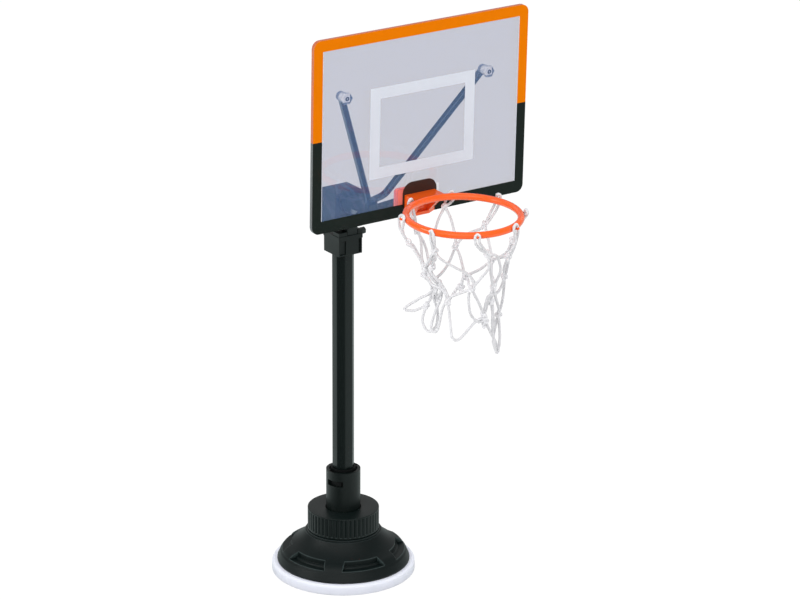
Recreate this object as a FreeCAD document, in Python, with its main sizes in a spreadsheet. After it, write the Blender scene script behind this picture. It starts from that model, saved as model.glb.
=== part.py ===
import FreeCAD, Part
import math
import os
import re

import Sketcher

# Toy basketball hoop on a suction base, in millimetres, with +Z up.
# The origin is the middle of the suction pad's underside and the pole stands on the Z axis.
# The clear board and the rim hang on the -Y side of the pole, where the player stands.

SIZES = {
    # Suction pad, a soft disc with a thick middle that holds the pull stud
    "pad_radius": 47.5,
    "pad_height": 6.6,
    "pad_side_height": 5.3,
    "pad_top_round": 1.4,
    "pad_lip": 0.5,
    "pad_boss_radius": 9.0,
    "pad_boss_height": 6.4,
    "pad_floor": 2.2,
    # Dome that presses on the pad
    "dome_radius": 43.9,
    "dome_edge_height": 0.6,
    "dome_skirt_height": 4.5,
    "dome_skirt_inset": 2.6,
    "dome_side_height": 6.7,
    "dome_side_inset": 3.9,
    "dome_round": 9.0,
    "dome_crown_height": 9.0,
    "dome_crown_radius": 25.2,
    "dome_sweep": 26.0,
    "dome_collar_radius": 24.2,
    "dome_collar_height": 1.3,
    "dome_wall": 2.6,
    "dome_rim_width": 12.2,
    "dome_hub_wall": 3.0,
    "dome_hub_height": 13.0,
    "pocket_count": 6,
    "pocket_width_deg": 46.0,
    "pocket_start_deg": 16.8,
    "pocket_back_radius": 34.4,
    "pocket_end_slope_deg": 3.5,
    "pocket_floor_rise": 2.0,
    # Knurled lock ring
    "ring_radius": 23.6,
    "ring_height": 14.75,
    "ring_plate": 3.0,
    "knurl_count": 48,
    "knurl_depth": 0.9,
    "knurl_width": 1.7,
    "knurl_foot": 1.4,
    "knurl_head": 0.8,
    "thread_radius": 17.0,
    "thread_height": 6.0,
    "lock_travel": 2.5,
    # Neck that the pole plugs into
    "neck_radius": 11.33,
    "neck_wall": 2.0,
    "neck_height": 27.2,
    "neck_floor_drop": 1.4,
    "key_width": 3.0,
    "key_reach": 1.4,
    "window_low": 17.6,
    "window_height": 3.8,
    "window_start_deg": 173.5,
    "window_sweep_deg": 62.0,
    "groove_wall": 0.8,
    "stud_head_radius": 5.6,
    "stud_head_height": 2.2,
    "stud_radius": 2.5,
    "stud_engagement": 12.0,
    # Bayonet bush on the pole's foot
    "lip_radius": 8.3,
    "lip_height": 2.6,
    "lip_rise": 1.4,
    "lug_start_deg": 202.5,
    "lug_sweep_deg": 27.0,
    "lug_clear": 0.15,
    # Octagonal pole
    "pole_width": 13.5,
    "pole_wall": 1.3,
    "pole_top": 228.2,
    # Socket on the pole's head, and its pivot
    "socket_width": 17.8,
    "socket_depth": 17.6,
    "socket_drop": 6.5,
    "socket_height": 13.3,
    "relief_depth": 1.0,
    "relief_edge": 0.9,
    "band_height": 3.0,
    "band_proud": 0.3,
    "pivot_rise": 0.3,
    "pivot_offset": 5.2,
    "pin_radius": 1.5,
    "pin_end_gap": 2.6,
    "ear_depth": 6.7,
    "ear_rise": 2.3,
    "tongue_width": 7.8,
    "tongue_centre": 1.5,
    "tongue_radius": 3.4,
    "knob_radius": 2.45,
    "knob_length": 3.8,
    # Tilting head box
    "head_rise": 4.7,
    "head_height": 24.8,
    "head_wall": 2.2,
    "head_overhang": 2.8,
    "tongue_root": 6.0,
    # Hub in front of the head box
    "hub_plate": 3.6,
    "hub_radius": 8.9,
    "hub_rise": 13.1,
    "hub_top_drop": 1.2,
    "hub_neck_width": 11.0,
    "hub_neck_height": 7.5,
    "hub_nose_width": 7.0,
    "hub_nose_height": 9.0,
    "hub_nose_rise": 1.4,
    "hub_reach": 22.0,
    "hub_screw_radius": 2.6,
    "hub_screw_head": 1.2,
    "hub_screw_shank": 1.4,
    "hub_screw_length": 7.0,
    "hub_screw_drop": 11.6,
    # Brace arms
    "arm_width": 3.8,
    "arm_depth": 3.5,
    "arm_corner": 0.9,
    "arm_root_side": 2.5,
    "arm_root_reach": 31.2,
    "arm_root_fall": 9.4,
    "arm_knee_side": 6.4,
    "arm_knee_reach": 39.5,
    "arm_knee_fall": 3.7,
    "arm_bend": 13.0,
    "eyelet_radius": 3.3,
    "eyelet_depth": 3.2,
    # Rim rail between the hub and the rim's back plate
    "rail_width": 6.0,
    "rail_height": 6.6,
    "rail_root_reach": 35.1,
    "rail_root_fall": 14.7,
    "rail_end_rise": 8.4,
    "foot_half_width": 12.0,
    "foot_height": 10.6,
    "foot_thickness": 2.0,
    # Clear backboard
    "board_width": 159.0,
    "board_height": 123.3,
    "board_thickness": 2.8,
    "board_corner": 5.0,
    "board_front": 87.2,
    "board_gap": 6.9,
    "board_lean_deg": 1.55,
    "boss_side": 53.0,
    "boss_drop": 40.8,
    "boss_radius": 3.3,
    "boss_length": 5.5,
    "boss_foot": 2.2,
    "boss_foot_radius": 4.3,
    "boss_bore": 3.6,
    # Printed border, shooting square and arch
    "print_thickness": 0.2,
    "border_side": 6.5,
    "border_top": 7.05,
    "border_bottom": 8.0,
    "colour_split": 2.35,
    "square_half_width": 38.9,
    "square_shift": 1.0,
    "square_top_gap": 36.35,
    "square_rise": 28.4,
    "square_line": 7.2,
    "arch_half_width": 12.75,
    "arch_rise": 21.7,
    "arch_corner": 7.0,
    # Rim, its mounting block and its hooks
    "rim_radius": 35.26,
    "rim_tube": 2.2,
    "rim_reach": 47.2,
    "rim_rise": 12.8,
    "block_half_width": 11.3,
    "block_rise": 1.2,
    "block_height": 14.1,
    "block_side_depth": 12.2,
    "block_low_depth": 0.4,
    "prow_half_width": 5.1,
    "prow_top_half_width": 8.5,
    "prow_depth": 3.8,
    "prow_top_depth": 15.0,
    "recess_half_width": 4.6,
    "recess_top_half_width": 7.2,
    "recess_back": 1.4,
    "recess_floor": 2.1,
    "recess_roof": 2.2,
    "hook_count": 8,
    "hook_start_deg": 22.5,
    "hook_radius": 0.8,
    "hook_reach": 3.5,
    "hook_rise": 1.2,
    # Back plate and screws of the rim
    "plate_half_width": 15.2,
    "plate_shift": -0.8,
    "plate_top_rise": 17.4,
    "plate_rise": 1.8,
    "plate_thickness": 2.4,
    "plate_corner": 2.0,
    "screw_spacing": 18.0,
    "screw_rise": 10.4,
    "screw_radius": 1.25,
    "screw_head_radius": 2.4,
    "screw_head": 1.5,
    "screw_bite": 3.4,
    "screw_clear": 0.2,
    "boss_screw_radius": 1.2,
    "boss_screw_head_radius": 2.2,
    # Net
    "cord_radius": 0.75,
    "knot_radius": 2.2,
    "loop_half_width": 1.7,
    "loop_pinch": 0.8,
    "net_drop": 88.0,
    "tail_half_width": 2.2,
    "strand_sag": 1.2,
    # Fits
    "run_clear": 0.1,
    "soft_clear": 0.3,
    "pin_clear": 0.06,
    "face_gap": 0.15,
    "cut_over": 1.0,
}

# Places that follow from the sizes: heights up the pole, then drops below the board's middle
PLACES = {
    "socket_base": "pole_top - socket_drop",
    "socket_top": "socket_base + socket_height",
    "pivot_height": "socket_top + pivot_rise",
    "head_base": "pivot_height + head_rise",
    "head_top": "head_base + head_height",
    "board_centre": "head_top + board_gap + board_height / 2",
    "arm_root_back": "board_front - arm_root_reach",
    "arm_knee_back": "board_front - arm_knee_reach",
    "rail_root_back": "board_front - rail_root_reach",
    "arm_root_drop": "board_height / 2 + arm_root_fall",
    "arm_knee_drop": "board_height / 2 + arm_knee_fall",
    "rail_root_drop": "board_height / 2 + rail_root_fall",
    "rail_end_drop": "board_height / 2 - rail_end_rise",
    "rim_drop": "board_height / 2 - rim_rise",
    "plate_top": "board_height / 2 - plate_top_rise",
    "plate_bottom": "board_height / 2 - plate_rise",
    "screw_drop": "board_height / 2 - screw_rise",
    "arch_top": "board_height / 2 - arch_rise",
    "square_top": "board_height / 2 - square_top_gap",
    "square_bottom": "board_height / 2 - square_rise",
    "boss_rise": "board_height / 2 - boss_drop",
}

doc = FreeCAD.newDocument("ToyBasketballHoop")
sheet = doc.addObject("Spreadsheet::Sheet", "Sizes")
rows = list(SIZES.items()) + [(alias, "=" + text) for alias, text in PLACES.items()]
for row, (alias, content) in enumerate(rows, start=1):
    sheet.set("A%d" % row, alias)
    sheet.set("B%d" % row, str(content))
    sheet.setAlias("B%d" % row, alias)
doc.recompute()

PIECES = []
ALIAS = re.compile(r"[a-z]+(?:_[a-z0-9]+)+")


def formula(text):
    """The sheet's form of a formula written with plain size names."""
    return ALIAS.sub(r"Sizes.\g<0>", str(text))


def value(text):
    """The number that a formula gives now."""
    return float(sheet.evalExpression(formula(text)))


def bind(target, **formulas):
    """Tie properties of one object to the sheet."""
    for name, text in formulas.items():
        target.setExpression(name.replace("__", "."), formula(text))


def piece(label, made):
    """Name a finished piece; its label is its file's name."""
    made.Label = label
    PIECES.append(made)
    return made


# Places that several pieces share, as formulas of the sizes
DOME_TOP = ("(pad_height + dome_edge_height + dome_skirt_height + dome_side_height"
            " + dome_crown_height + dome_collar_height)")
RING_BASE = "(%s + face_gap)" % DOME_TOP
RING_TOP = "(%s + ring_height)" % RING_BASE
NECK_TOP = "(%s + neck_height)" % RING_TOP
NECK_BORE = "(neck_radius - neck_wall)"
NECK_FLOOR = "(%s + neck_floor_drop)" % RING_TOP
THREAD_BASE = "(%s + soft_clear)" % DOME_TOP
STEM_BASE = "(pad_height + pad_boss_height + soft_clear)"
STUD_HEAD_BASE = "(pad_floor + pad_height + run_clear)"
WINDOW_BASE = "(%s + window_low)" % RING_TOP
TONGUE_LEFT = "(tongue_centre - tongue_width / 2)"
TONGUE_RIGHT = "(tongue_centre + tongue_width / 2)"
HUB_FRONT = "(socket_depth / 2 + hub_plate)"


def moved(made, x_at="0", y_at="0", z_at="0", turn="0", axis=(0, 0, 1)):
    """Place an object by formulas, turned about one axis by a formula in degrees."""
    made.Placement = FreeCAD.Placement(FreeCAD.Vector(), FreeCAD.Rotation(FreeCAD.Vector(*axis), 1))
    bind(made, Placement__Base__x=x_at, Placement__Base__y=y_at, Placement__Base__z=z_at,
         Placement__Rotation__Angle=turn)
    return made


def cylinder(name, radius, height, x_at="0", y_at="0", z_at="0", turn="0", axis=(0, 0, 1), sweep=None):
    """A cylinder along its own Z, or a sector of one."""
    made = doc.addObject("Part::Cylinder", name)
    bind(made, Radius=radius, Height=height)
    if sweep is not None:
        bind(made, Angle=sweep)
    return moved(made, x_at, y_at, z_at, turn, axis)


def block(name, x_from, x_to, y_from, y_to, z_from, z_to):
    """A box between two corners."""
    made = doc.addObject("Part::Box", name)
    bind(made, Length="%s - (%s)" % (x_to, x_from), Width="%s - (%s)" % (y_to, y_from),
         Height="%s - (%s)" % (z_to, z_from))
    return moved(made, x_from, y_from, z_from)


def joined(name, *shapes):
    """Shapes fused into one."""
    made = doc.addObject("Part::MultiFuse", name)
    made.Shapes = list(shapes)
    made.Refine = True
    return made


def carved(name, base, *tools):
    """A base with one or more tools cut out of it."""
    made = doc.addObject("Part::Cut", name)
    made.Base = base
    made.Tool = tools[0] if len(tools) == 1 else joined(name + "Tools", *tools)
    made.Refine = True
    return made


def free_solid(name, shape):
    """A shape made point by point from the sheet's values."""
    made = doc.addObject("Part::Feature", name)
    made.Shape = shape
    return made


def on_board(made):
    """Stand a shape on the leaning board: its front face is Y 0 and its centre is the origin."""
    made.Placement = FreeCAD.Placement(FreeCAD.Vector(), FreeCAD.Rotation(FreeCAD.Vector(1, 0, 0), 1))
    bind(made, Placement__Base__y="-board_front", Placement__Base__z="board_centre",
         Placement__Rotation__Angle="board_lean_deg")
    return made


def body_of(name):
    """A new empty body."""
    made = doc.addObject("PartDesign::Body", name)
    doc.recompute()
    return made


def origin_plane(body, role):
    """One of a body's own origin planes or axes, by its role."""
    return next(item for item in body.Origin.OriginFeatures if item.Role == role)


def arc_between(start, end, radius, turn):
    """The anticlockwise circle arc between two corners, bulging left (1) or right (-1) of the way."""
    along = end - start
    side = FreeCAD.Vector(-along.y, along.x, 0).normalize() * turn
    depth = math.sqrt(max(radius * radius - along.Length * along.Length / 4, 0))
    centre = start + along / 2 - side * depth
    first, last = (end, start) if turn > 0 else (start, end)
    angles = [math.atan2(place.y - centre.y, place.x - centre.x) for place in (first, last)]
    if angles[1] < angles[0]:
        angles[1] += 2 * math.pi
    return Part.ArcOfCircle(Part.Circle(centre, FreeCAD.Vector(0, 0, 1), radius), *angles)


def sketch_in(body, role, loops, lift=None):
    """A sketch on an origin plane. A loop is a list of corners (u, v) given as formulas. A corner
    (u, v, radius, turn) is reached by an arc of that radius from the corner before it."""
    drawn = body.newObject("Sketcher::SketchObject", body.Name + "Sketch")
    drawn.AttachmentSupport = (origin_plane(body, role), [""])
    drawn.MapMode = "FlatFace"
    if lift is not None:
        bind(drawn, AttachmentOffset__Base__z=lift)
    for loop in loops:
        places = [FreeCAD.Vector(value(corner[0]), value(corner[1]), 0) for corner in loop]
        edges = []
        for index, corner in enumerate(loop):
            start = places[index - 1]
            end = places[index]
            if len(corner) == 4:
                number = drawn.addGeometry(arc_between(start, end, value(corner[2]), corner[3]), False)
                flipped = corner[3] > 0
                rule = drawn.addConstraint(Sketcher.Constraint("Radius", number, value(corner[2])))
                drawn.setExpression("Constraints[%d]" % rule, formula(corner[2]))
            else:
                number = drawn.addGeometry(Part.LineSegment(start, end), False)
                flipped = False
            edges.append((number, 1, 2) if not flipped else (number, 2, 1))
        for index, corner in enumerate(loop):
            number, _, end_point = edges[index]
            following, start_point, _ = edges[(index + 1) % len(edges)]
            drawn.addConstraint(Sketcher.Constraint("Coincident", number, end_point, following, start_point))
            for kind, text, place in (("DistanceX", corner[0], places[index].x),
                                      ("DistanceY", corner[1], places[index].y)):
                rule = drawn.addConstraint(Sketcher.Constraint(kind, -1, 1, number, end_point, place))
                drawn.setExpression("Constraints[%d]" % rule, formula(text))
    return drawn


def circle_sketch(body, role, circles, lift=None):
    """A sketch of circles, each (u, v, radius) in formulas."""
    drawn = body.newObject("Sketcher::SketchObject", body.Name + "Circles")
    drawn.AttachmentSupport = (origin_plane(body, role), [""])
    drawn.MapMode = "FlatFace"
    if lift is not None:
        bind(drawn, AttachmentOffset__Base__z=lift)
    for u_at, v_at, radius in circles:
        centre = FreeCAD.Vector(value(u_at), value(v_at), 0)
        shape = Part.Circle(centre, FreeCAD.Vector(0, 0, 1), value(radius))
        number = drawn.addGeometry(shape, False)
        for kind, text, place in (("DistanceX", u_at, centre.x), ("DistanceY", v_at, centre.y)):
            rule = drawn.addConstraint(Sketcher.Constraint(kind, -1, 1, number, 3, place))
            drawn.setExpression("Constraints[%d]" % rule, formula(text))
        rule = drawn.addConstraint(Sketcher.Constraint("Radius", number, value(radius)))
        drawn.setExpression("Constraints[%d]" % rule, formula(radius))
    return drawn


def turned(body, loop):
    """A revolution about Z of an outline of (radius, height) corners."""
    drawn = sketch_in(body, "XZ_Plane", [loop])
    made = body.newObject("PartDesign::Revolution", body.Name + "Turned")
    made.Profile = drawn
    made.ReferenceAxis = (drawn, ["V_Axis"])
    made.Angle = 360
    return made


def padded(body, drawn, length, backwards=False):
    """A pad of a sketch."""
    made = body.newObject("PartDesign::Pad", body.Name + "Pad")
    made.Profile = drawn
    bind(made, Length=length)
    made.Reversed = backwards
    return made


def pocketed(body, drawn, length, backwards=False):
    """A pocket of a sketch."""
    made = body.newObject("PartDesign::Pocket", body.Name + "Pocket")
    made.Profile = drawn
    bind(made, Length=length)
    made.Reversed = backwards
    return made


def repeated_round(body, feature, count):
    """Copies of a feature round the body's Z axis."""
    made = body.newObject("PartDesign::PolarPattern", body.Name + "Round")
    made.Originals = [feature]
    made.Axis = (origin_plane(body, "Z_Axis"), [""])
    made.Angle = 360
    bind(made, Occurrences=count)
    body.Tip = made
    return made


def polar(radius, degrees):
    """A corner at a radius and an angle, both formulas."""
    return ("(%s) * cos(%s)" % (radius, degrees), "(%s) * sin(%s)" % (radius, degrees))


# Suction pad: flat underside, bevelled rim and a middle boss moulded round the stud's head
def make_suction_pad():
    boss_top = "(pad_height + pad_boss_height)"
    cavity_low = "(pad_floor + pad_height)"
    cavity_high = "(%s + stud_head_height + 2 * run_clear)" % cavity_low
    pad = body_of("SuctionPad")
    turned(pad, [
        ("0", "0"),
        ("pad_radius - pad_lip", "0"),
        ("pad_radius", "pad_lip"),
        ("pad_radius", "pad_side_height"),
        ("pad_radius - pad_top_round", "pad_height", "pad_top_round * 1.3", -1),
        ("pad_boss_radius", "pad_height"),
        ("pad_boss_radius", boss_top),
        ("stud_radius + run_clear", boss_top),
        ("stud_radius + run_clear", cavity_high),
        ("stud_head_radius + run_clear", cavity_high),
        ("stud_head_radius + run_clear", cavity_low),
        ("0", cavity_low),
    ])
    return piece("suction_pad", pad)


# Base dome: a thick rim round a shell, a middle hub with two keyways, and six side pockets
def make_base_dome():
    edge = "(pad_height + dome_edge_height)"
    skirt = "(%s + dome_skirt_height)" % edge
    side = "(%s + dome_side_height)" % skirt
    crown = "(%s + dome_crown_height)" % side
    top = "(%s + dome_collar_height)" % crown
    skirt_radius = "(dome_radius - dome_skirt_inset)"
    shoulder = "(%s - dome_side_inset)" % skirt_radius
    inside = "(dome_radius - dome_rim_width)"
    hub_bore = "(neck_radius + run_clear)"
    hub_outside = "(%s + key_reach + dome_hub_wall)" % hub_bore
    hub_low = "(%s - dome_hub_height)" % top
    dome = body_of("BaseDome")
    turned(dome, [
        (inside, "pad_height"),
        ("dome_radius", "pad_height"),
        ("dome_radius", edge),
        (skirt_radius, skirt),
        (shoulder, side, "dome_round", -1),
        ("dome_crown_radius", crown, "dome_sweep", 1),
        ("dome_collar_radius", crown),
        ("dome_collar_radius", top),
        (hub_bore, top),
        (hub_bore, hub_low),
        (hub_outside, hub_low),
        (hub_outside, "%s - dome_wall" % crown),
        (inside, "%s - dome_wall" % side),
    ])
    reach = "(dome_radius + cut_over)"
    low_deg = "(pocket_start_deg - pocket_width_deg / 2)"
    high_deg = "(pocket_start_deg + pocket_width_deg / 2)"
    floor = sketch_in(dome, "XY_Plane", [[
        polar("pocket_back_radius", low_deg + " + pocket_end_slope_deg") + ("pocket_back_radius", 1),
        polar(reach, low_deg),
        polar(reach + " * 1.2", "pocket_start_deg"),
        polar(reach, high_deg),
        polar("pocket_back_radius", high_deg + " - pocket_end_slope_deg"),
        polar("pocket_back_radius", "pocket_start_deg") + ("pocket_back_radius", 1),
    ]], lift=skirt + " + pocket_floor_rise")
    pocket = pocketed(dome, floor, "dome_side_height + dome_crown_height", backwards=True)
    repeated_round(dome, pocket, "pocket_count")
    keyways = [block("Keyway%d" % turn,
                     hub_bore + " - cut_over" if turn == 0 else "-(%s + key_reach + run_clear)" % hub_bore,
                     hub_bore + " + key_reach + run_clear" if turn == 0 else "-(%s - cut_over)" % hub_bore,
                     "-(key_width / 2 + run_clear)", "key_width / 2 + run_clear",
                     hub_low + " - cut_over", top + " + cut_over")
               for turn in range(2)]
    return piece("base_dome", carved("BaseDomeKeyed", dome, *keyways))


# Lock ring: a plate over a threaded skirt, with ridges for the fingers
def make_lock_ring():
    base = RING_BASE
    top = RING_TOP
    ring = body_of("LockRing")
    turned(ring, [
        ("neck_radius + soft_clear", top),
        ("neck_radius + soft_clear", top + " - ring_plate"),
        ("thread_radius", top + " - ring_plate"),
        ("thread_radius", base),
        ("ring_radius - knurl_depth", base),
        ("ring_radius", base + " + knurl_depth"),
        ("ring_radius", top),
    ])
    groove = sketch_in(ring, "XY_Plane", [[
        ("ring_radius - knurl_depth", "-knurl_width / 4"),
        ("ring_radius + knurl_depth", "-knurl_width * 3 / 4"),
        ("ring_radius + knurl_depth", "knurl_width * 3 / 4"),
        ("ring_radius - knurl_depth", "knurl_width / 4"),
    ]], lift=base + " + knurl_foot")
    pocket = pocketed(ring, groove, "ring_height - knurl_foot - knurl_head", backwards=True)
    repeated_round(ring, pocket, "knurl_count")
    return piece("lock_ring", ring)


# Neck: keyed shank with a threaded flange, and a socket with bayonet windows and entry grooves
def make_neck_socket():
    shank = cylinder("NeckShank", "neck_radius", "%s - %s" % (NECK_TOP, STEM_BASE), z_at=STEM_BASE)
    flange = cylinder("NeckThread", "thread_radius - run_clear", "thread_height", z_at=THREAD_BASE)
    keys = block("NeckKeys", "-(neck_radius + key_reach)", "neck_radius + key_reach",
                 "-key_width / 2", "key_width / 2", STEM_BASE, THREAD_BASE)
    bore = cylinder("NeckBore", NECK_BORE, "neck_height", z_at=NECK_FLOOR)
    stud_hole = cylinder("NeckStudHole", "stud_radius", "stud_engagement + cut_over",
                         z_at=STEM_BASE + " - cut_over")
    cuts = [bore, stud_hole]
    for turn in range(2):
        start = "window_start_deg + %d" % (180 * turn)
        cuts.append(cylinder("NeckWindow%d" % turn, "neck_radius + cut_over", "window_height",
                             z_at=WINDOW_BASE, turn=start, sweep="window_sweep_deg"))
        cuts.append(cylinder("NeckGroove%d" % turn, "neck_radius - groove_wall",
                             "neck_height - window_low", z_at=WINDOW_BASE, turn=start,
                             sweep="lug_sweep_deg + 1"))
    return piece("neck_socket", carved("NeckSocket", joined("NeckSolid", shank, flange, keys), *cuts))


# Pull stud: its head is moulded into the pad and its shank screws into the neck
def make_pull_stud():
    stud = body_of("PullStud")
    head_top = "(%s + stud_head_height)" % STUD_HEAD_BASE
    turned(stud, [
        ("0", STUD_HEAD_BASE),
        ("stud_head_radius", STUD_HEAD_BASE),
        ("stud_head_radius", head_top),
        ("stud_radius", head_top),
        ("stud_radius", STEM_BASE + " + stud_engagement"),
        ("0", STEM_BASE + " + stud_engagement"),
    ])
    return piece("pull_stud", stud)


def octagon(width):
    """Corners of an octagon with flats square to X and Y."""
    return [polar("(%s) / 2 / cos(22.5)" % width, "%s" % (22.5 + 45 * step)) for step in range(8)]


# Bayonet bush: turns in the neck, with two lugs in the windows
def make_pole_bush():
    outside = "(%s - run_clear)" % NECK_BORE
    foot = "(%s + soft_clear)" % NECK_FLOOR
    sleeve_top = "(%s + lip_rise - lip_height)" % NECK_TOP
    sleeve = cylinder("BushSleeve", outside, "%s - %s" % (sleeve_top, foot), z_at=foot)
    lip = cylinder("BushLip", "lip_radius", "%s + lip_rise - %s" % (NECK_TOP, foot), z_at=foot)
    lugs = [cylinder("BushLug%d" % turn, "neck_radius - groove_wall - run_clear",
                     "window_height - 2 * lug_clear", z_at=WINDOW_BASE + " + lug_clear",
                     turn="lug_start_deg + %d" % (180 * turn), sweep="lug_sweep_deg")
            for turn in range(2)]
    hole = body_of("BushHole")
    padded(hole, sketch_in(hole, "XY_Plane", [octagon("pole_width")], lift=foot + " - cut_over"),
           "neck_height + lip_rise + 2 * cut_over")
    return piece("pole_bush", carved("PoleBush", joined("BushSolid", sleeve, lip, *lugs), hole))


# Pole: an octagonal tube from the bush's foot to the socket
def make_pole():
    pole = body_of("Pole")
    foot = "(%s + soft_clear)" % NECK_FLOOR
    drawn = sketch_in(pole, "XY_Plane", [octagon("pole_width"), octagon("pole_width - 2 * pole_wall")],
                      lift=foot)
    padded(pole, drawn, "pole_top - %s" % foot)
    return piece("pole", pole)


# Head socket: a square box on the pole, slotted for the tongue, with an ear on each side of the slot
def make_head_socket():
    half = "socket_width / 2"
    deep = "socket_depth / 2"
    slot_left = "(%s - soft_clear)" % TONGUE_LEFT
    slot_right = "(%s + soft_clear)" % TONGUE_RIGHT
    box = block("SocketBox", "-" + half, half, "-" + deep, deep, "socket_base", "socket_top")
    band = block("SocketBand", "-(%s + band_proud)" % half, half + " + band_proud",
                 "-(%s + band_proud)" % deep, deep + " + band_proud",
                 "socket_top - band_height", "socket_top")
    ears = [block("Ear" + name, low, high, "-" + deep, "ear_depth - " + deep, "socket_base",
                  "pivot_height + ear_rise")
            for name, low, high in (("Left", "-" + half, slot_left), ("Right", slot_right, half))]
    socket = body_of("SocketHole")
    padded(socket, sketch_in(socket, "XY_Plane", [octagon("pole_width")], lift="socket_base - cut_over"),
           "pole_top - socket_base + cut_over")
    slot = block("SocketSlot", slot_left, slot_right, "-(%s + cut_over)" % deep,
                 "tongue_radius - pivot_offset + soft_clear", "pivot_height", "head_base")
    saddle = cylinder("SocketSaddle", "tongue_radius + soft_clear", "%s - (%s)" % (slot_right, slot_left),
                      x_at=slot_left, y_at="-pivot_offset", z_at="pivot_height", turn="90", axis=(0, 1, 0))
    reliefs = [block("Relief" + name, low, high, "-(%s + cut_over)" % deep, "relief_depth - " + deep,
                     "socket_base + relief_edge", "socket_top - band_height")
               for name, low, high in (("Left", "relief_edge - " + half, slot_left + " - relief_edge"),
                                       ("Right", slot_right + " + relief_edge / 2", half + " - relief_edge"))]
    pin_hole = cylinder("SocketPinHole", "pin_radius", "socket_width + cut_over",
                        x_at="pin_end_gap - " + half, y_at="-pivot_offset", z_at="pivot_height",
                        turn="90", axis=(0, 1, 0))
    return piece("head_socket", carved("HeadSocket", joined("SocketSolid", box, band, *ears),
                                       socket, slot, saddle, *reliefs, pin_hole))


# Pivot pin and the six-sided knob on its end
def make_pivot():
    left = "(pin_end_gap - socket_width / 2)"
    right = "(socket_width / 2 + band_proud + face_gap)"
    pin = cylinder("PivotPin", "pin_radius", "%s + knob_length - pin_end_gap - %s" % (right, left), x_at=left,
                   y_at="-pivot_offset", z_at="pivot_height", turn="90", axis=(0, 1, 0))
    piece("pivot_pin", pin)
    knob = doc.addObject("Part::Prism", "KnobPrism")
    knob.Polygon = 6
    bind(knob, Circumradius="knob_radius", Height="knob_length")
    moved(knob, right, "-pivot_offset", "pivot_height", "90", (0, 1, 0))
    seat = cylinder("KnobSeat", "pin_radius", "knob_length - pin_end_gap + cut_over",
                    x_at=right + " - cut_over", y_at="-pivot_offset", z_at="pivot_height",
                    turn="90", axis=(0, 1, 0))
    piece("pivot_knob", carved("PivotKnob", knob, seat))


# Tilting head: a hollow box with a tongue that hangs between the ears
def make_tilt_head():
    half = "socket_width / 2"
    deep = "socket_depth / 2"
    left = "(%s + head_overhang)" % half
    box = block("HeadBox", "-" + left, half, "-" + deep, deep, "head_base", "head_top")
    hollow = block("HeadHollow", "-(%s - head_wall)" % left, half + " - head_wall",
                   "tongue_radius - pivot_offset", deep + " - head_wall", "head_base - cut_over",
                   "head_top - head_wall")
    tongue = block("TongueBlade", TONGUE_LEFT, TONGUE_RIGHT, "-(pivot_offset + tongue_radius)",
                   "tongue_radius - pivot_offset", "pivot_height", "head_base + tongue_root")
    knuckle = cylinder("TongueKnuckle", "tongue_radius", "tongue_width", x_at=TONGUE_LEFT,
                       y_at="-pivot_offset", z_at="pivot_height", turn="90", axis=(0, 1, 0))
    bore = cylinder("TongueBore", "pin_radius + pin_clear", "tongue_width + 2 * cut_over",
                    x_at=TONGUE_LEFT + " - cut_over", y_at="-pivot_offset", z_at="pivot_height",
                    turn="90", axis=(0, 1, 0))
    screw_hole = cylinder("HeadScrewHole", "hub_screw_shank",
                          "hub_screw_length - hub_plate + soft_clear + cut_over",
                          y_at="hub_screw_length + soft_clear - %s" % HUB_FRONT,
                          z_at="head_top - hub_screw_drop", turn="90", axis=(1, 0, 0))
    return piece("tilt_head", carved("TiltHead", joined("HeadSolid", box, tongue, knuckle),
                                     hollow, bore, screw_hole))


def box_at(width, height, y_at, z_at):
    """A rectangle across Y, as a closed wire."""
    corners = [FreeCAD.Vector(x * width / 2, y_at, z_at + z * height / 2)
               for x, z in ((-1, -1), (1, -1), (1, 1), (-1, 1), (-1, -1))]
    return Part.makePolygon(corners)


# Hub: a plate with a round foot on the head's front, and a nose that the arms spring from
def make_brace_hub():
    plate_top = "(head_top - hub_top_drop)"
    foot_centre = "(%s - hub_rise + hub_radius)" % plate_top
    upper = block("HubPlate", "-hub_radius", "hub_radius", "-%s" % HUB_FRONT, "-socket_depth / 2",
                  foot_centre, plate_top)
    foot = cylinder("HubFoot", "hub_radius", "hub_plate", y_at="-socket_depth / 2",
                    z_at=foot_centre, turn="90", axis=(1, 0, 0))
    root = box_at(value("hub_neck_width"), value("hub_neck_height"),
                  -value(HUB_FRONT) + value("hub_plate") / 2,
                  value(plate_top) - value("hub_neck_height") / 2)
    nose = box_at(value("hub_nose_width"), value("hub_nose_height"), -value(HUB_FRONT) - value("hub_reach"),
                  value(plate_top) + value("hub_nose_rise") - value("hub_nose_height") / 2)
    neck = free_solid("HubNeck", Part.makeLoft([root, nose], True, True))
    hole = cylinder("HubScrewHole", "hub_screw_shank", "hub_plate + 2 * cut_over",
                    y_at="cut_over - socket_depth / 2", z_at="head_top - hub_screw_drop",
                    turn="90", axis=(1, 0, 0))
    return piece("brace_hub", carved("BraceHub", joined("HubSolid", upper, foot, neck), hole))


def make_hub_screw():
    screw = body_of("HubScrew")
    turned(screw, [
        ("0", "0"),
        ("hub_screw_shank", "0"),
        ("hub_screw_shank", "hub_screw_length"),
        ("hub_screw_radius", "hub_screw_length"),
        ("hub_screw_radius", "hub_screw_length + hub_screw_head / 2"),
        ("hub_screw_radius - hub_screw_head / 2", "hub_screw_length + hub_screw_head"),
        ("0", "hub_screw_length + hub_screw_head"),
    ])
    moved(screw, "0", "hub_screw_length - %s" % HUB_FRONT, "head_top - hub_screw_drop", "90", (1, 0, 0))
    return piece("hub_screw", screw)


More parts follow.
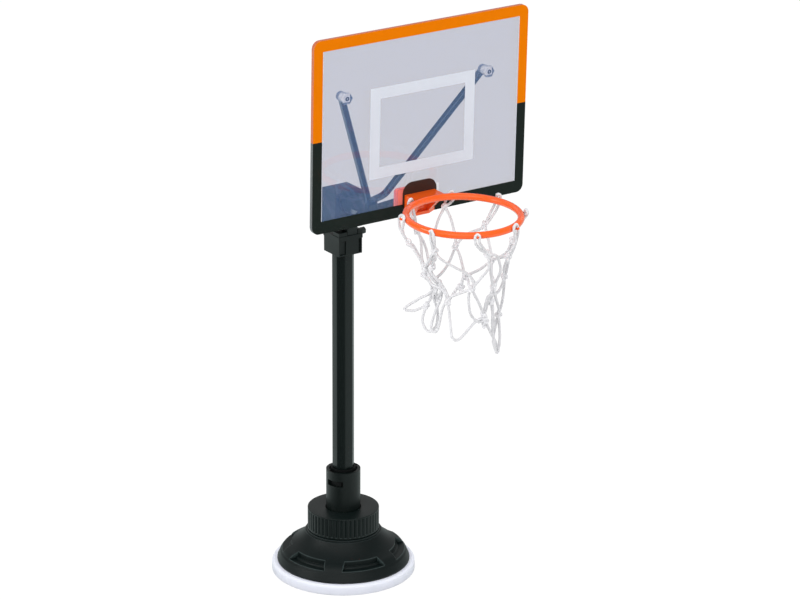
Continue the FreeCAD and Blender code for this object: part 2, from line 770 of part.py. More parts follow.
def corner_arc(before, corner, after, radius):
    """The arc of one radius that is tangent to both runs at a corner, as its start, middle and end."""
    into = (corner - before).normalize()
    out = (after - corner).normalize()
    turn = into.getAngle(out)
    setback = radius * math.tan(turn / 2)
    inward = (out - into).normalize()
    middle = corner + inward * (radius / math.cos(turn / 2) - radius)
    return corner - into * setback, middle, corner + out * setback


def rounded_path(points, radius=None, share=0.45):
    """Straight runs joined by tangent arcs: of one radius, or as large as a share of the shorter run."""
    edges = []
    last = points[0]
    for before, corner, after in zip(points, points[1:], points[2:]):
        bend = radius
        if radius is None:
            turn = (corner - before).getAngle(after - corner)
            bend = share * min((corner - before).Length, (after - corner).Length) / math.tan(turn / 2)
        start, middle, end = corner_arc(before, corner, after, bend)
        edges.append(Part.LineSegment(last, start).toShape())
        edges.append(Part.Arc(start, middle, end).toShape())
        last = end
    edges.append(Part.LineSegment(last, points[-1]).toShape())
    return Part.Wire(edges)


def rounded_bar(points, bend, across, through, corner):
    """A bar of rounded rectangular section carried along a rounded path."""
    along = (points[1] - points[0]).normalize()
    wide = along.cross((points[2] - points[1]).normalize()).normalize()
    deep = along.cross(wide).normalize()
    section = [points[0] + wide * (side_u * across / 2) + deep * (side_v * through / 2)
               for side_u, side_v in ((1, 1), (-1, 1), (-1, -1), (1, -1))]
    arcs = [corner_arc(section[index - 1], section[index], section[(index + 1) % 4], corner)
            for index in range(4)]
    edges = []
    for index, (start, middle, end) in enumerate(arcs):
        edges.append(Part.LineSegment(arcs[index - 1][2], start).toShape())
        edges.append(Part.Arc(start, middle, end).toShape())
    return rounded_path(points, bend).makePipeShell([Part.Wire(edges)], True, False)


def tube(points):
    """A round cord along a path whose corners are rounded."""
    path = rounded_path(points)
    ring = Part.Circle(points[0], (points[1] - points[0]).normalize(), value("cord_radius"))
    return path.makePipeShell([Part.Wire([ring.toShape()])], True, True)


def bored_disc(name, radius, length, x_at, y_at, z_at):
    """A cylinder that runs back from a place on the board, square to it."""
    return cylinder(name, radius, length, x_at, "%s + (%s)" % (y_at, length), z_at, "90", (1, 0, 0))


# Brace arms: each springs from the hub's nose, bends up and ends in an eyelet behind a clear boss
def make_brace_arms(hub):
    boss_end = "(board_thickness + boss_length)"
    root = FreeCAD.Vector(value("arm_root_side"), value("arm_root_back"), -value("arm_root_drop"))
    knee = FreeCAD.Vector(value("arm_knee_side"), value("arm_knee_back"), -value("arm_knee_drop"))
    tip = FreeCAD.Vector(value("boss_side"), value(boss_end + " + eyelet_depth / 2"), value("boss_rise"))
    bar = free_solid("ArmBar", rounded_bar([root, knee, tip], value("arm_bend"), value("arm_width"),
                                           value("arm_depth"), value("arm_corner")))
    eyelet = bored_disc("ArmEyelet", "eyelet_radius", "eyelet_depth", "boss_side", boss_end, "boss_rise")
    bore = bored_disc("ArmBore", "boss_screw_radius + screw_clear", "eyelet_depth * 3", "boss_side",
                      boss_end + " - cut_over", "boss_rise")
    spot = bored_disc("ArmSpotFace", "boss_screw_head_radius + screw_clear", "eyelet_depth", "boss_side",
                      boss_end + " + eyelet_depth", "boss_rise")
    front = block("ArmFront", "0", "boss_side * 2", "-eyelet_radius * 2", boss_end, "0", "boss_rise * 2")
    loose = on_board(carved("ArmLoose", joined("ArmSolid", bar, eyelet), bore, spot, front))
    right = piece("right_arm", carved("RightArm", loose, hub))
    left = doc.addObject("Part::Mirroring", "LeftArm")
    left.Source = right
    left.Normal = FreeCAD.Vector(1, 0, 0)
    piece("left_arm", left)


# Rim rail: a bar from the hub's nose to a foot plate behind the board
def make_rim_rail(hub):
    plate_back = "(board_thickness + plate_thickness)"
    foot_back = "(%s + foot_thickness)" % plate_back
    root = FreeCAD.Vector(0, value("rail_root_back"), -value("rail_root_drop"))
    end = FreeCAD.Vector(0, value(plate_back), -value("rail_end_drop"))
    along = (end - root).normalize()
    wide = FreeCAD.Vector(1, 0, 0)
    deep = along.cross(wide)
    ends = []
    for place in (root, end):
        corners = [place + wide * (side_u * value("rail_width") / 2)
                   + deep * (side_v * value("rail_height") / 2)
                   for side_u, side_v in ((1, 1), (-1, 1), (-1, -1), (1, -1), (1, 1))]
        ends.append(Part.makePolygon(corners))
    bar = free_solid("RailBar", Part.makeLoft(ends, True, True))
    foot = block("RailFoot", "-foot_half_width", "foot_half_width", plate_back, foot_back,
                 "-(screw_drop + foot_height / 2)", "foot_height / 2 - screw_drop")
    front = block("RailFront", "-foot_half_width", "foot_half_width",
                  plate_back + " - rail_height", plate_back,
                  "-(rail_end_drop + 2 * rail_height)", "2 * rail_height - rail_end_drop")
    holes = [bored_disc("RailHole%d" % side, "screw_radius + screw_clear", "foot_thickness + 2 * cut_over",
                        "%d * screw_spacing / 2" % side, plate_back + " - cut_over", "-screw_drop")
             for side in (-1, 1)]
    loose = on_board(carved("RailLoose", joined("RailSolid", bar, foot), front, *holes))
    return piece("rim_rail", carved("RimRail", loose, hub))


def board_outline(half_width, low, high, corner, shift="0"):
    """A rectangle with round corners, anticlockwise from its lower right."""
    left = "(%s - %s)" % (shift, half_width)
    right = "(%s + %s)" % (shift, half_width)
    return [
        ("%s - %s" % (right, corner), low),
        (right, "%s + %s" % (low, corner), corner, -1),
        (right, "%s - %s" % (high, corner)),
        ("%s - %s" % (right, corner), high, corner, -1),
        ("%s + %s" % (left, corner), high),
        (left, "%s - %s" % (high, corner), corner, -1),
        (left, "%s + %s" % (low, corner)),
        ("%s + %s" % (left, corner), low, corner, -1),
    ]


HALF_WIDE = "(board_width / 2)"
HALF_HIGH = "(board_height / 2)"


# Backboard: a clear sheet with two hollow bosses behind it and two screw holes
def make_backboard():
    sheet_body = body_of("BoardSheet")
    padded(sheet_body, sketch_in(sheet_body, "XZ_Plane",
                                 [board_outline(HALF_WIDE, "-" + HALF_HIGH, HALF_HIGH, "board_corner")]),
           "board_thickness", backwards=True)
    adds = []
    cuts = []
    for side in (-1, 1):
        place = "%d * boss_side" % side
        adds.append(bored_disc("BossTube%d" % side, "boss_radius", "boss_length + cut_over", place,
                               "board_thickness - cut_over", "boss_rise"))
        feet = doc.addObject("Part::Prism", "BossFoot%d" % side)
        feet.Polygon = 6
        bind(feet, Circumradius="boss_foot_radius", Height="boss_foot + cut_over")
        adds.append(moved(feet, place, "board_thickness + boss_foot", "boss_rise", "90", (1, 0, 0)))
        cuts.append(bored_disc("BossBore%d" % side, "boss_screw_radius", "boss_bore + cut_over", place,
                               "board_thickness + boss_length - boss_bore", "boss_rise"))
        cuts.append(bored_disc("BoardHole%d" % side, "screw_radius + screw_clear",
                               "board_thickness + 2 * cut_over", "%d * screw_spacing / 2" % side,
                               "-cut_over", "-screw_drop"))
    return piece("backboard", on_board(carved("Backboard", joined("BoardSolid", sheet_body, *adds), *cuts)))


def printed(label, loops, holes=()):
    """A thin printed layer on the board's front."""
    layer = body_of(label.title().replace("_", ""))
    padded(layer, sketch_in(layer, "XZ_Plane", loops), "print_thickness")
    made = carved(label.title().replace("_", "") + "Cut", layer, *holes) if holes else layer
    return piece(label, on_board(made))


# Printed layers: two-colour border, shooting square, and the arch behind the rim's block
def make_prints():
    split = "-colour_split"
    inner_side = "(%s - border_side)" % HALF_WIDE
    inner_top = "(%s - border_top)" % HALF_HIGH
    inner_bottom = "-(%s - border_bottom)" % HALF_HIGH
    printed("border_upper", [[
        (HALF_WIDE, split),
        (HALF_WIDE, HALF_HIGH + " - board_corner"),
        (HALF_WIDE + " - board_corner", HALF_HIGH, "board_corner", -1),
        ("-(%s - board_corner)" % HALF_WIDE, HALF_HIGH),
        ("-" + HALF_WIDE, HALF_HIGH + " - board_corner", "board_corner", -1),
        ("-" + HALF_WIDE, split),
        ("-" + inner_side, split),
        ("-" + inner_side, inner_top),
        (inner_side, inner_top),
        (inner_side, split),
    ]])
    printed("border_lower", [[
        ("-" + HALF_WIDE, split),
        ("-" + HALF_WIDE, "board_corner - %s" % HALF_HIGH),
        ("-(%s - board_corner)" % HALF_WIDE, "-" + HALF_HIGH, "board_corner", -1),
        (HALF_WIDE + " - board_corner", "-" + HALF_HIGH),
        (HALF_WIDE, "board_corner - %s" % HALF_HIGH, "board_corner", -1),
        (HALF_WIDE, split),
        (inner_side, split),
        (inner_side, inner_bottom),
        ("-" + inner_side, inner_bottom),
        ("-" + inner_side, split),
    ]])
    frame = []
    for inset in ("0", "square_line"):
        wide = "(square_half_width - %s)" % inset
        left = "(square_shift - %s)" % wide
        right = "(square_shift + %s)" % wide
        high = "(square_top - %s)" % inset
        low = "-(square_bottom - %s)" % inset
        frame.append([(left, low), (right, low), (right, high), (left, high)])
    printed("shooting_square", frame)
    holes = [bored_disc("ArchHole%d" % side, "screw_radius + screw_clear", "3 * cut_over",
                        "%d * screw_spacing / 2" % side, "-2 * cut_over", "-screw_drop") for side in (-1, 1)]
    printed("rim_arch", [[
        ("-arch_half_width", inner_bottom),
        ("arch_half_width", inner_bottom),
        ("arch_half_width", "-(arch_top + arch_corner)"),
        ("arch_half_width - arch_corner", "-arch_top", "arch_corner", -1),
        ("arch_corner - arch_half_width", "-arch_top"),
        ("-arch_half_width", "-(arch_top + arch_corner)", "arch_corner", -1),
    ]], holes)


# Back plate: the coloured plate that clamps the rim's block through the board
def make_rim_plate():
    plate = body_of("RimPlate")
    loop = board_outline("plate_half_width", "-plate_bottom", "-plate_top", "plate_corner", "plate_shift")
    face = sketch_in(plate, "XZ_Plane", [loop], lift="-board_thickness")
    padded(plate, face, "plate_thickness", backwards=True)
    holes = [bored_disc("PlateHole%d" % side, "screw_radius + screw_clear", "plate_thickness + 2 * cut_over",
                        "%d * screw_spacing / 2" % side, "board_thickness - cut_over", "-screw_drop")
             for side in (-1, 1)]
    return piece("rim_plate", on_board(carved("RimPlateDrilled", plate, *holes)))


def pan_screw(name, shank, length, head_radius, head_height):
    """A pan-head screw: its tip is at the origin and its head at +Z."""
    screw = body_of(name)
    turned(screw, [
        ("0", "0"),
        (shank + " * 0.6", "0"),
        (shank, shank + " * 0.8"),
        (shank, length),
        (head_radius, length),
        (head_radius, "%s + %s / 2" % (length, head_height)),
        ("%s - %s / 2" % (head_radius, head_height), "%s + %s" % (length, head_height)),
        ("0", "%s + %s" % (length, head_height)),
    ])
    return screw


# Screws: two clamp the rim's block, two hold the arms' eyelets to the clear bosses
def make_board_screws():
    stack = "(foot_thickness + plate_thickness + board_thickness)"
    tip = "-(print_thickness + screw_bite)"
    pair = []
    for side in (-1, 1):
        screw = pan_screw("RimScrew%d" % (side + 2), "screw_radius", "(%s - (%s))" % (stack, tip),
                          "screw_head_radius", "screw_head")
        pair.append(moved(screw, "%d * screw_spacing / 2" % side, tip, "-screw_drop", "-90", (1, 0, 0)))
    group = doc.addObject("Part::Compound", "RimScrews")
    group.Links = pair
    piece("rim_screws", on_board(group))
    seat = "(board_thickness + boss_length + eyelet_depth)"
    start = "(board_thickness + boss_length - boss_bore + soft_clear)"
    pair = []
    for side in (-1, 1):
        screw = pan_screw("BossScrew%d" % (side + 2), "boss_screw_radius", "(%s - %s)" % (seat, start),
                          "boss_screw_head_radius", "screw_head")
        pair.append(moved(screw, "%d * boss_side" % side, start, "boss_rise", "-90", (1, 0, 0)))
    group = doc.addObject("Part::Compound", "BossScrews")
    group.Links = pair
    piece("boss_screws", on_board(group))


def rim_place(degrees, radius, drop):
    """A place round the rim's centre, on the board's frame: an angle, a radius and a depth below the rim."""
    angle = math.radians(degrees)
    return FreeCAD.Vector(radius * math.cos(angle), radius * math.sin(angle) - value("rim_reach"),
                          -value("rim_drop") - drop)


# Rim: ring, a mounting block with a recess under its top, and eight upturned hooks for the net
def make_rim():
    front = value("print_thickness")
    top = value("block_rise - rim_drop")
    low = top - value("block_height")
    hoop = doc.addObject("Part::Torus", "Hoop")
    bind(hoop, Radius1="rim_radius", Radius2="rim_tube")
    moved(hoop, "0", "-rim_reach", "-rim_drop")
    wide = value("block_half_width")
    plans = []
    lip = low + value("recess_floor")
    for height, side, prow, depth in ((low, "block_low_depth", "prow_half_width", "prow_depth"),
                                      (lip, "block_low_depth", "prow_half_width", "prow_depth"),
                                      (top, "block_side_depth", "prow_top_half_width", "prow_top_depth")):
        half = ((wide, front), (wide, value(side)), (value(prow), value(depth)))
        outline = list(half) + [(-across, back) for across, back in reversed(half)] + [half[0]]
        plans.append(Part.makePolygon([FreeCAD.Vector(across, -back, height) for across, back in outline]))
    hopper = free_solid("RimBlock", Part.makeLoft(plans, True, True))
    plans = []
    for height, side in ((lip, value("recess_half_width")),
                         (top - value("recess_roof"), value("recess_top_half_width"))):
        outline = [(side, value("recess_back")), (side, value("prow_top_depth + cut_over"))]
        outline += [(-across, back) for across, back in reversed(outline)] + [outline[0]]
        plans.append(Part.makePolygon([FreeCAD.Vector(across, -back, height) for across, back in outline]))
    recess = free_solid("RimRecess", Part.makeLoft(plans, True, True))
    inside = cylinder("RimInside", "rim_radius", "3 * block_height", y_at="-rim_reach",
                      z_at="-rim_drop - 2 * block_height")
    web_cut = carved("RimBlockCut", hopper, inside, recess)
    hooks = []
    for index in range(int(value("hook_count"))):
        degrees = value("hook_start_deg") + 360 * index / value("hook_count")
        elbow = value("rim_radius + rim_tube + hook_reach")
        places = [rim_place(degrees, value("rim_radius"), 0), rim_place(degrees, elbow, 0),
                  rim_place(degrees, elbow, -value("hook_rise + hook_radius"))]
        circle = Part.Circle(places[0], (places[1] - places[0]).normalize(), value("hook_radius"))
        path = rounded_path(places, value("hook_radius") * 1.6)
        shell = path.makePipeShell([Part.Wire([circle.toShape()])], True, True)
        hooks.append(free_solid("Hook%d" % index, shell))
    solid = joined("RimSolid", hoop, web_cut, *hooks)
    pilots = [bored_disc("RimPilot%d" % side, "screw_radius", "screw_bite + cut_over + print_thickness",
                         "%d * screw_spacing / 2" % side, "-(screw_bite + print_thickness)", "-screw_drop")
              for side in (-1, 1)]
    return piece("rim", on_board(carved("Rim", solid, *pilots)))


# Net: knots as (angle, radius share of the rim, drop share of the net), row by row from the rim.
# A row's knot hangs from the two knots beside it in the row above.
NET_ROWS_SHARES = (
    ((31, 0.96, 0.19), (72, 1.02, 0.08), (112, 0.96, 0.20), (163, 1.00, 0.16),
     (206, 1.01, 0.14), (259, 1.00, 0.15), (294, 0.91, 0.25), (347, 0.93, 0.23)),
    ((60, 0.83, 0.33), (94, 0.78, 0.38), (138, 0.80, 0.40), (192, 0.88, 0.28),
     (236, 0.84, 0.33), (283, 0.72, 0.46), (315, 0.74, 0.43), (12, 0.76, 0.41)),
    ((38, 0.60, 0.58), (76, 0.58, 0.56), (112, 0.62, 0.60), (152, 0.62, 0.66),
     (211, 0.66, 0.55), (247, 0.73, 0.44), (276, 0.60, 0.66), (325, 0.62, 0.70)),
)
# Loops at the bottom: the two knots of the last row, and the loop's lowest place
NET_TAILS_SHARES = (
    (2, 3, (148, 1.00, 0.68)),
    (3, 4, (166, 0.53, 0.84)),
    (4, 6, (221, 0.51, 0.85)),
    (5, 6, (262, 0.58, 0.71)),
    (6, 7, (322, 0.58, 1.00)),
    (7, 0, (352, 0.50, 0.88)),
    (0, 1, (44, 0.48, 0.86)),
    (1, 2, (96, 0.50, 0.83)),
)


def net_place(shares):
    """A knot's or loop's place from its angle and shares."""
    degrees, radius_share, drop_share = shares
    return rim_place(degrees, radius_share * value("rim_radius"), drop_share * value("net_drop"))


def strand(start, end, sag):
    """A cord from one knot's skin to another's, hanging a little under the straight line."""
    middle = (start + end) / 2 - FreeCAD.Vector(0, 0, sag)
    skin = value("knot_radius")
    first = start + (middle - start).normalize() * skin
    last = end + (middle - end).normalize() * skin
    return tube([first, middle, last])


def make_net():
    rows = [[net_place(shares) for shares in row] for row in NET_ROWS_SHARES]
    count = len(rows[0])
    skin = value("knot_radius")
    solids = []
    seat = value("rim_radius + rim_tube + (hook_reach - hook_radius) / 2")
    half = value("loop_half_width")
    pinch = value("loop_pinch")
    for index, knot in enumerate(rows[0]):
        degrees = value("hook_start_deg") + 360 * index / value("hook_count")
        over = rim_place(degrees, seat, 0)
        angle = math.radians(degrees)
        beside = FreeCAD.Vector(-math.sin(angle), math.cos(angle), 0)
        up = FreeCAD.Vector(0, 0, half)
        foot = knot - (knot - over).normalize() * skin
        solids.append(tube([foot + beside * pinch, over - up + beside * half, over + up + beside * half,
                            over + up - beside * half, over - up - beside * half, foot - beside * pinch]))
    for upper, lower in zip(rows, rows[1:]):
        for index, knot in enumerate(lower):
            shift = 1 if lower is rows[1] else -1
            for above in (upper[index], upper[(index + shift) % count]):
                solids.append(strand(above, knot, value("strand_sag")))
    for start, end, shares in NET_TAILS_SHARES:
        low = net_place(shares)
        first = rows[-1][start]
        last = rows[-1][end]
        across = (last - first).normalize() * value("tail_half_width")
        corners = (low - across, low + across)
        solids.append(tube([first + (corners[0] - first).normalize() * skin, *corners,
                            last + (corners[1] - last).normalize() * skin]))
    solids += [Part.makeSphere(skin, knot) for row in rows for knot in row]
    return piece("net", on_board(free_solid("Net", Part.makeCompound(solids))))


def make_all():
    """Every piece, from the table up."""
    make_suction_pad()
    make_base_dome()
    make_lock_ring()
    make_neck_socket()
    make_pull_stud()
    make_pole_bush()
    make_pole()
    make_head_socket()
    make_pivot()
    make_tilt_head()
    hub = make_brace_hub()
    make_hub_screw()
    make_brace_arms(hub)
    make_rim_rail(hub)
    make_backboard()
    make_prints()
    make_rim_plate()
    make_board_screws()
    make_rim()
    make_net()


make_all()
doc.recompute()

faults = ["%s (%s)" % (item.Name, item.TypeId) for item in doc.Objects
          if "Invalid" in item.State or "Error" in item.State]
if faults:
    raise RuntimeError("failed objects: " + ", ".join(faults))
os.makedirs("parts", exist_ok=True)
for made in PIECES:
    shape = made.Shape
    if shape.isNull() or not shape.isValid() or shape.Volume <= 0 or not shape.Solids:
        raise RuntimeError("bad shape: " + made.Label)
for made in PIECES:
    made.Shape.exportStep("parts/%s.step" % made.Label)
    box = made.Shape.BoundBox
    print("%-16s %d solids %10.1f mm3  X %.1f..%.1f  Y %.1f..%.1f  Z %.1f..%.1f" % (
        made.Label, len(made.Shape.Solids), made.Shape.Volume,
        box.XMin, box.XMax, box.YMin, box.YMax, box.ZMin, box.ZMax))
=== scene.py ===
import logging
import math
from dataclasses import dataclass, field
from enum import Enum
from typing import Optional, Sequence, Union

import bmesh
import bpy
import numpy as np
from mathutils import Matrix, Vector


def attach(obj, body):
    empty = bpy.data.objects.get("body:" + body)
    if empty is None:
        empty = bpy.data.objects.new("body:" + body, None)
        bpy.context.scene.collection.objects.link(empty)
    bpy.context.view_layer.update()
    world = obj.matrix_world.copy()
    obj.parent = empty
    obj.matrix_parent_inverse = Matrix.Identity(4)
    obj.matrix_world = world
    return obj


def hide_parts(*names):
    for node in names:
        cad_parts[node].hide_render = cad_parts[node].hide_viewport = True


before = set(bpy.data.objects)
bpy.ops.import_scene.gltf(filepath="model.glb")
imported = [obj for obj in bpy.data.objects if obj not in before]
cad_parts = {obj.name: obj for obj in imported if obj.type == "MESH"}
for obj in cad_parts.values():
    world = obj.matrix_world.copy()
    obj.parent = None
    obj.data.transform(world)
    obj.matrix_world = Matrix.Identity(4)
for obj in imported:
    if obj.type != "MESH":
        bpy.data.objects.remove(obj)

LOG = logging.getLogger("toy_hoop")
MM = 0.001
ROUND = 2 * math.pi
MAP = "surface"
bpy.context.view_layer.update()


# Surfaces on grids

def arc_points(centre: Sequence[float], radius: float, start: float, end: float, steps: int) -> np.ndarray:
    """Points of a circle arc: centre + radius * (cos t, sin t) for t from start to end.

    Args:
        centre: the arc's centre.
        radius: the arc's radius.
        start: first angle in radians.
        end: last angle in radians.
        steps: how many points.

    Returns:
        An array of (steps, 2) points.
    """
    t = np.linspace(start, end, steps)
    return np.stack([centre[0] + radius * np.cos(t), centre[1] + radius * np.sin(t)], 1)


def circle_points(count: int, radius: float = 1.0, first: float = 0.0) -> np.ndarray:
    """Points spread evenly round a circle: radius * (cos t, sin t), with t from first in equal steps.

    Args:
        count: how many points.
        radius: the circle's radius.
        first: the first point's angle in radians.

    Returns:
        An array of (count, 2) points.
    """
    t = first + np.arange(count) / count * ROUND
    return radius * np.stack([np.cos(t), np.sin(t)], 1)


def filleted(corners: Sequence[Sequence[float]], radii: Sequence[float], steps: int,
             closed: bool = False) -> np.ndarray:
    """A polyline whose corners are rounded: at each corner with a radius r and a turn a, an arc tangent to
    both runs starts r * tan(a / 2) before the corner.

    Args:
        corners: the corners, as (x, y).
        radii: the radius at each corner, 0 for a sharp one.
        steps: points on each arc.
        closed: whether the last corner runs on to the first.

    Returns:
        An array of points.
    """
    points = np.asarray(corners, float)
    count = len(points)
    rows = []
    for index, here in enumerate(points):
        into = here - points[index - 1]
        out = points[(index + 1) % count] - here
        len_in, len_out = np.linalg.norm(into), np.linalg.norm(out)
        into, out = into / len_in, out / len_out
        turn = math.acos(float(np.clip(into @ out, -1, 1)))
        if radii[index] <= 0 or turn < 1e-3 or (not closed and index in (0, count - 1)):
            rows.append(here[None])
            continue
        setback = min(radii[index] * math.tan(turn / 2), 0.48 * min(len_in, len_out))
        radius = setback / math.tan(turn / 2)
        side = math.copysign(1.0, into[0] * out[1] - into[1] * out[0])
        start = here - into * setback
        centre = start + side * radius * np.array([-into[1], into[0]])
        first = math.atan2(*(start - centre)[::-1])
        rows.append(arc_points(centre, radius, first, first + side * turn, steps))
    return np.concatenate(rows)


def length_of(points: np.ndarray) -> float:
    """The length of a polyline."""
    return float(np.linalg.norm(np.diff(points, axis=0), axis=1).sum())


def resampled(points: np.ndarray, count: int) -> np.ndarray:
    """Points at equal steps of length along a polyline.

    Args:
        points: the polyline, (n, d).
        count: how many points to return.

    Returns:
        An array of (count, d) points.
    """
    steps = np.linalg.norm(np.diff(points, axis=0), axis=1)
    along = np.concatenate([[0], np.cumsum(steps)])
    at = np.linspace(0, along[-1], count)
    return np.stack([np.interp(at, along, column) for column in points.T], 1)


def threaded(places: np.ndarray, steps: int = 12) -> np.ndarray:
    """A smooth curve through every place: between two places a cubic whose end directions are half the
    difference of their neighbours.

    Args:
        places: the places, (n, d).
        steps: points on each run.

    Returns:
        The curve's points.
    """
    padded = np.concatenate([2 * places[:1] - places[1:2], places, 2 * places[-1:] - places[-2:-1]])
    slope = (padded[2:] - padded[:-2]) / 2
    t = (np.arange(steps) / steps)[None, :, None]
    first, last, a, b = places[:-1, None], places[1:, None], slope[:-1, None], slope[1:, None]
    runs = (first * (2 * t ** 3 - 3 * t ** 2 + 1) + last * (3 * t ** 2 - 2 * t ** 3)
            + a * (t ** 3 - 2 * t ** 2 + t) + b * (t ** 3 - t ** 2))
    return np.concatenate([runs.reshape(-1, places.shape[1]), places[-1:]])


def smooth_step(value: np.ndarray, low: float, high: float) -> np.ndarray:
    """0 below low and 1 above high, with the cubic 3t^2 - 2t^3 between them."""
    t = np.clip((value - low) / (high - low), 0, 1)
    return t * t * (3 - 2 * t)


def unit(vectors: np.ndarray) -> np.ndarray:
    """Vectors divided by their lengths."""
    return vectors / np.linalg.norm(vectors, axis=-1, keepdims=True)


def revolved(profile: np.ndarray, columns: int = 96) -> np.ndarray:
    """A surface of revolution about Z: (r cos t, r sin t, z) for each profile point (r, z) and t round the
    circle.

    Args:
        profile: (n, 2) points of radius and height.
        columns: steps round the circle.

    Returns:
        A grid of (n, columns, 3) points.
    """
    across = profile[:, :1, None] * circle_points(columns)
    return np.concatenate([across, profile[:, 1:, None] + 0 * across[..., :1]], 2)


def capped(grid: np.ndarray) -> np.ndarray:
    """A grid with both end rows closed by a row at their middle, which later merges to one point.

    Args:
        grid: (n, m, 3) points.

    Returns:
        A grid of (n + 2, m, 3) points.
    """
    first, last = (np.repeat(row.mean(1, keepdims=True), grid.shape[1], 1) for row in (grid[:1], grid[-1:]))
    return np.concatenate([first, grid, last])


def stacked(outline: np.ndarray, levels: Sequence[float], sizes: Sequence[float]) -> np.ndarray:
    """An outline repeated up the third axis, closed at both ends: (s u, s v, z) for each level z and size s.

    Args:
        outline: (n, 2) points (u, v).
        levels: the rows' places on the third axis.
        sizes: the outline's size in each row.

    Returns:
        A grid of (rows, n, 3) points.
    """
    rows = [np.column_stack([outline * size, np.full(len(outline), level)])
            for level, size in zip(levels, sizes)]
    return capped(np.stack(rows))


def swept(path: np.ndarray, section: np.ndarray, flat: np.ndarray, scale: Union[np.ndarray, float] = 1.0,
          twist: Union[np.ndarray, float] = 0.0) -> np.ndarray:
    """A section carried along a path, closed at both ends: p + s (u cos w - v sin w) a +
    s (u sin w + v cos w) b, where a is the part of flat square to the tangent and b is tangent cross a.

    Args:
        path: (n, 3) points p.
        section: (m, 2) points (u, v) of the section.
        flat: a direction that the path is never parallel to.
        scale: the section's size s, at each path point or at all.
        twist: the section's turn w in radians, at each path point or at all.

    Returns:
        A grid of (n + 2, m, 3) points.
    """
    tangent = unit(np.gradient(path, axis=0))
    first = unit(flat - (tangent @ flat)[:, None] * tangent)
    second = np.cross(tangent, first)
    size, turn = (np.broadcast_to(value, len(path))[:, None] for value in (scale, twist))
    u, v = section.T[:, None]
    across = (u * np.cos(turn) - v * np.sin(turn)) * size
    up = (u * np.sin(turn) + v * np.cos(turn)) * size
    return capped(path[:, None] + across[..., None] * first[:, None] + up[..., None] * second[:, None])


def rounded_rectangle(half_wide: float, half_high: float, corner: float, steps: int = 6) -> np.ndarray:
    """The outline of a rectangle with round corners, anticlockwise: an arc in each quarter.

    Args:
        half_wide: half the width.
        half_high: half the height.
        corner: the corners' radius.
        steps: points on each corner.

    Returns:
        An array of (n, 2) points.
    """
    corner = max(corner, 1e-4)
    quarter = math.pi / 2
    signs = ((1, 1), (-1, 1), (-1, -1), (1, -1))
    return np.concatenate([
        arc_points(((half_wide - corner) * x, (half_high - corner) * y), corner, quarter * index,
                   quarter * (index + 1), steps) for index, (x, y) in enumerate(signs)])


def slab(half_wide: float, half_high: float, corner: float, low: float, high: float,
         edge: float) -> np.ndarray:
    """A plate with a rounded outline and rounded edges. Its outline is a rounded rectangle that shrinks by
    edge * (1 - cos a) while its depth goes in by edge * (1 - sin a) at both faces.

    Args:
        half_wide: half the width, along the first axis.
        half_high: half the height, along the second axis.
        corner: the outline's corner radius.
        low: the lower face's place on the third axis.
        high: the upper face's place.
        edge: the radius of the edges.

    Returns:
        A grid of (rows, n, 3) points, closed at both faces.
    """
    turn = np.linspace(0, math.pi / 2, 4)
    insets = np.concatenate([edge * (1 - np.sin(turn)), edge * (1 - np.cos(turn))])
    depths = np.concatenate([low + edge * (1 - np.cos(turn)), high - edge * (1 - np.sin(turn))])
    rows = []
    for inset, depth in zip(insets, depths):
        outline = rounded_rectangle(half_wide - inset, half_high - inset, corner - inset)
        rows.append(np.column_stack([outline, np.full(len(outline), depth)]))
    return capped(np.stack(rows))


def linked(name: str, data: bpy.types.ID) -> bpy.types.Object:
    """A new object in the scene, at the origin.

    Args:
        name: the object's name.
        data: its mesh, light or camera.

    Returns:
        The object.
    """
    made = bpy.data.objects.new(name, data)
    bpy.context.scene.collection.objects.link(made)
    return made


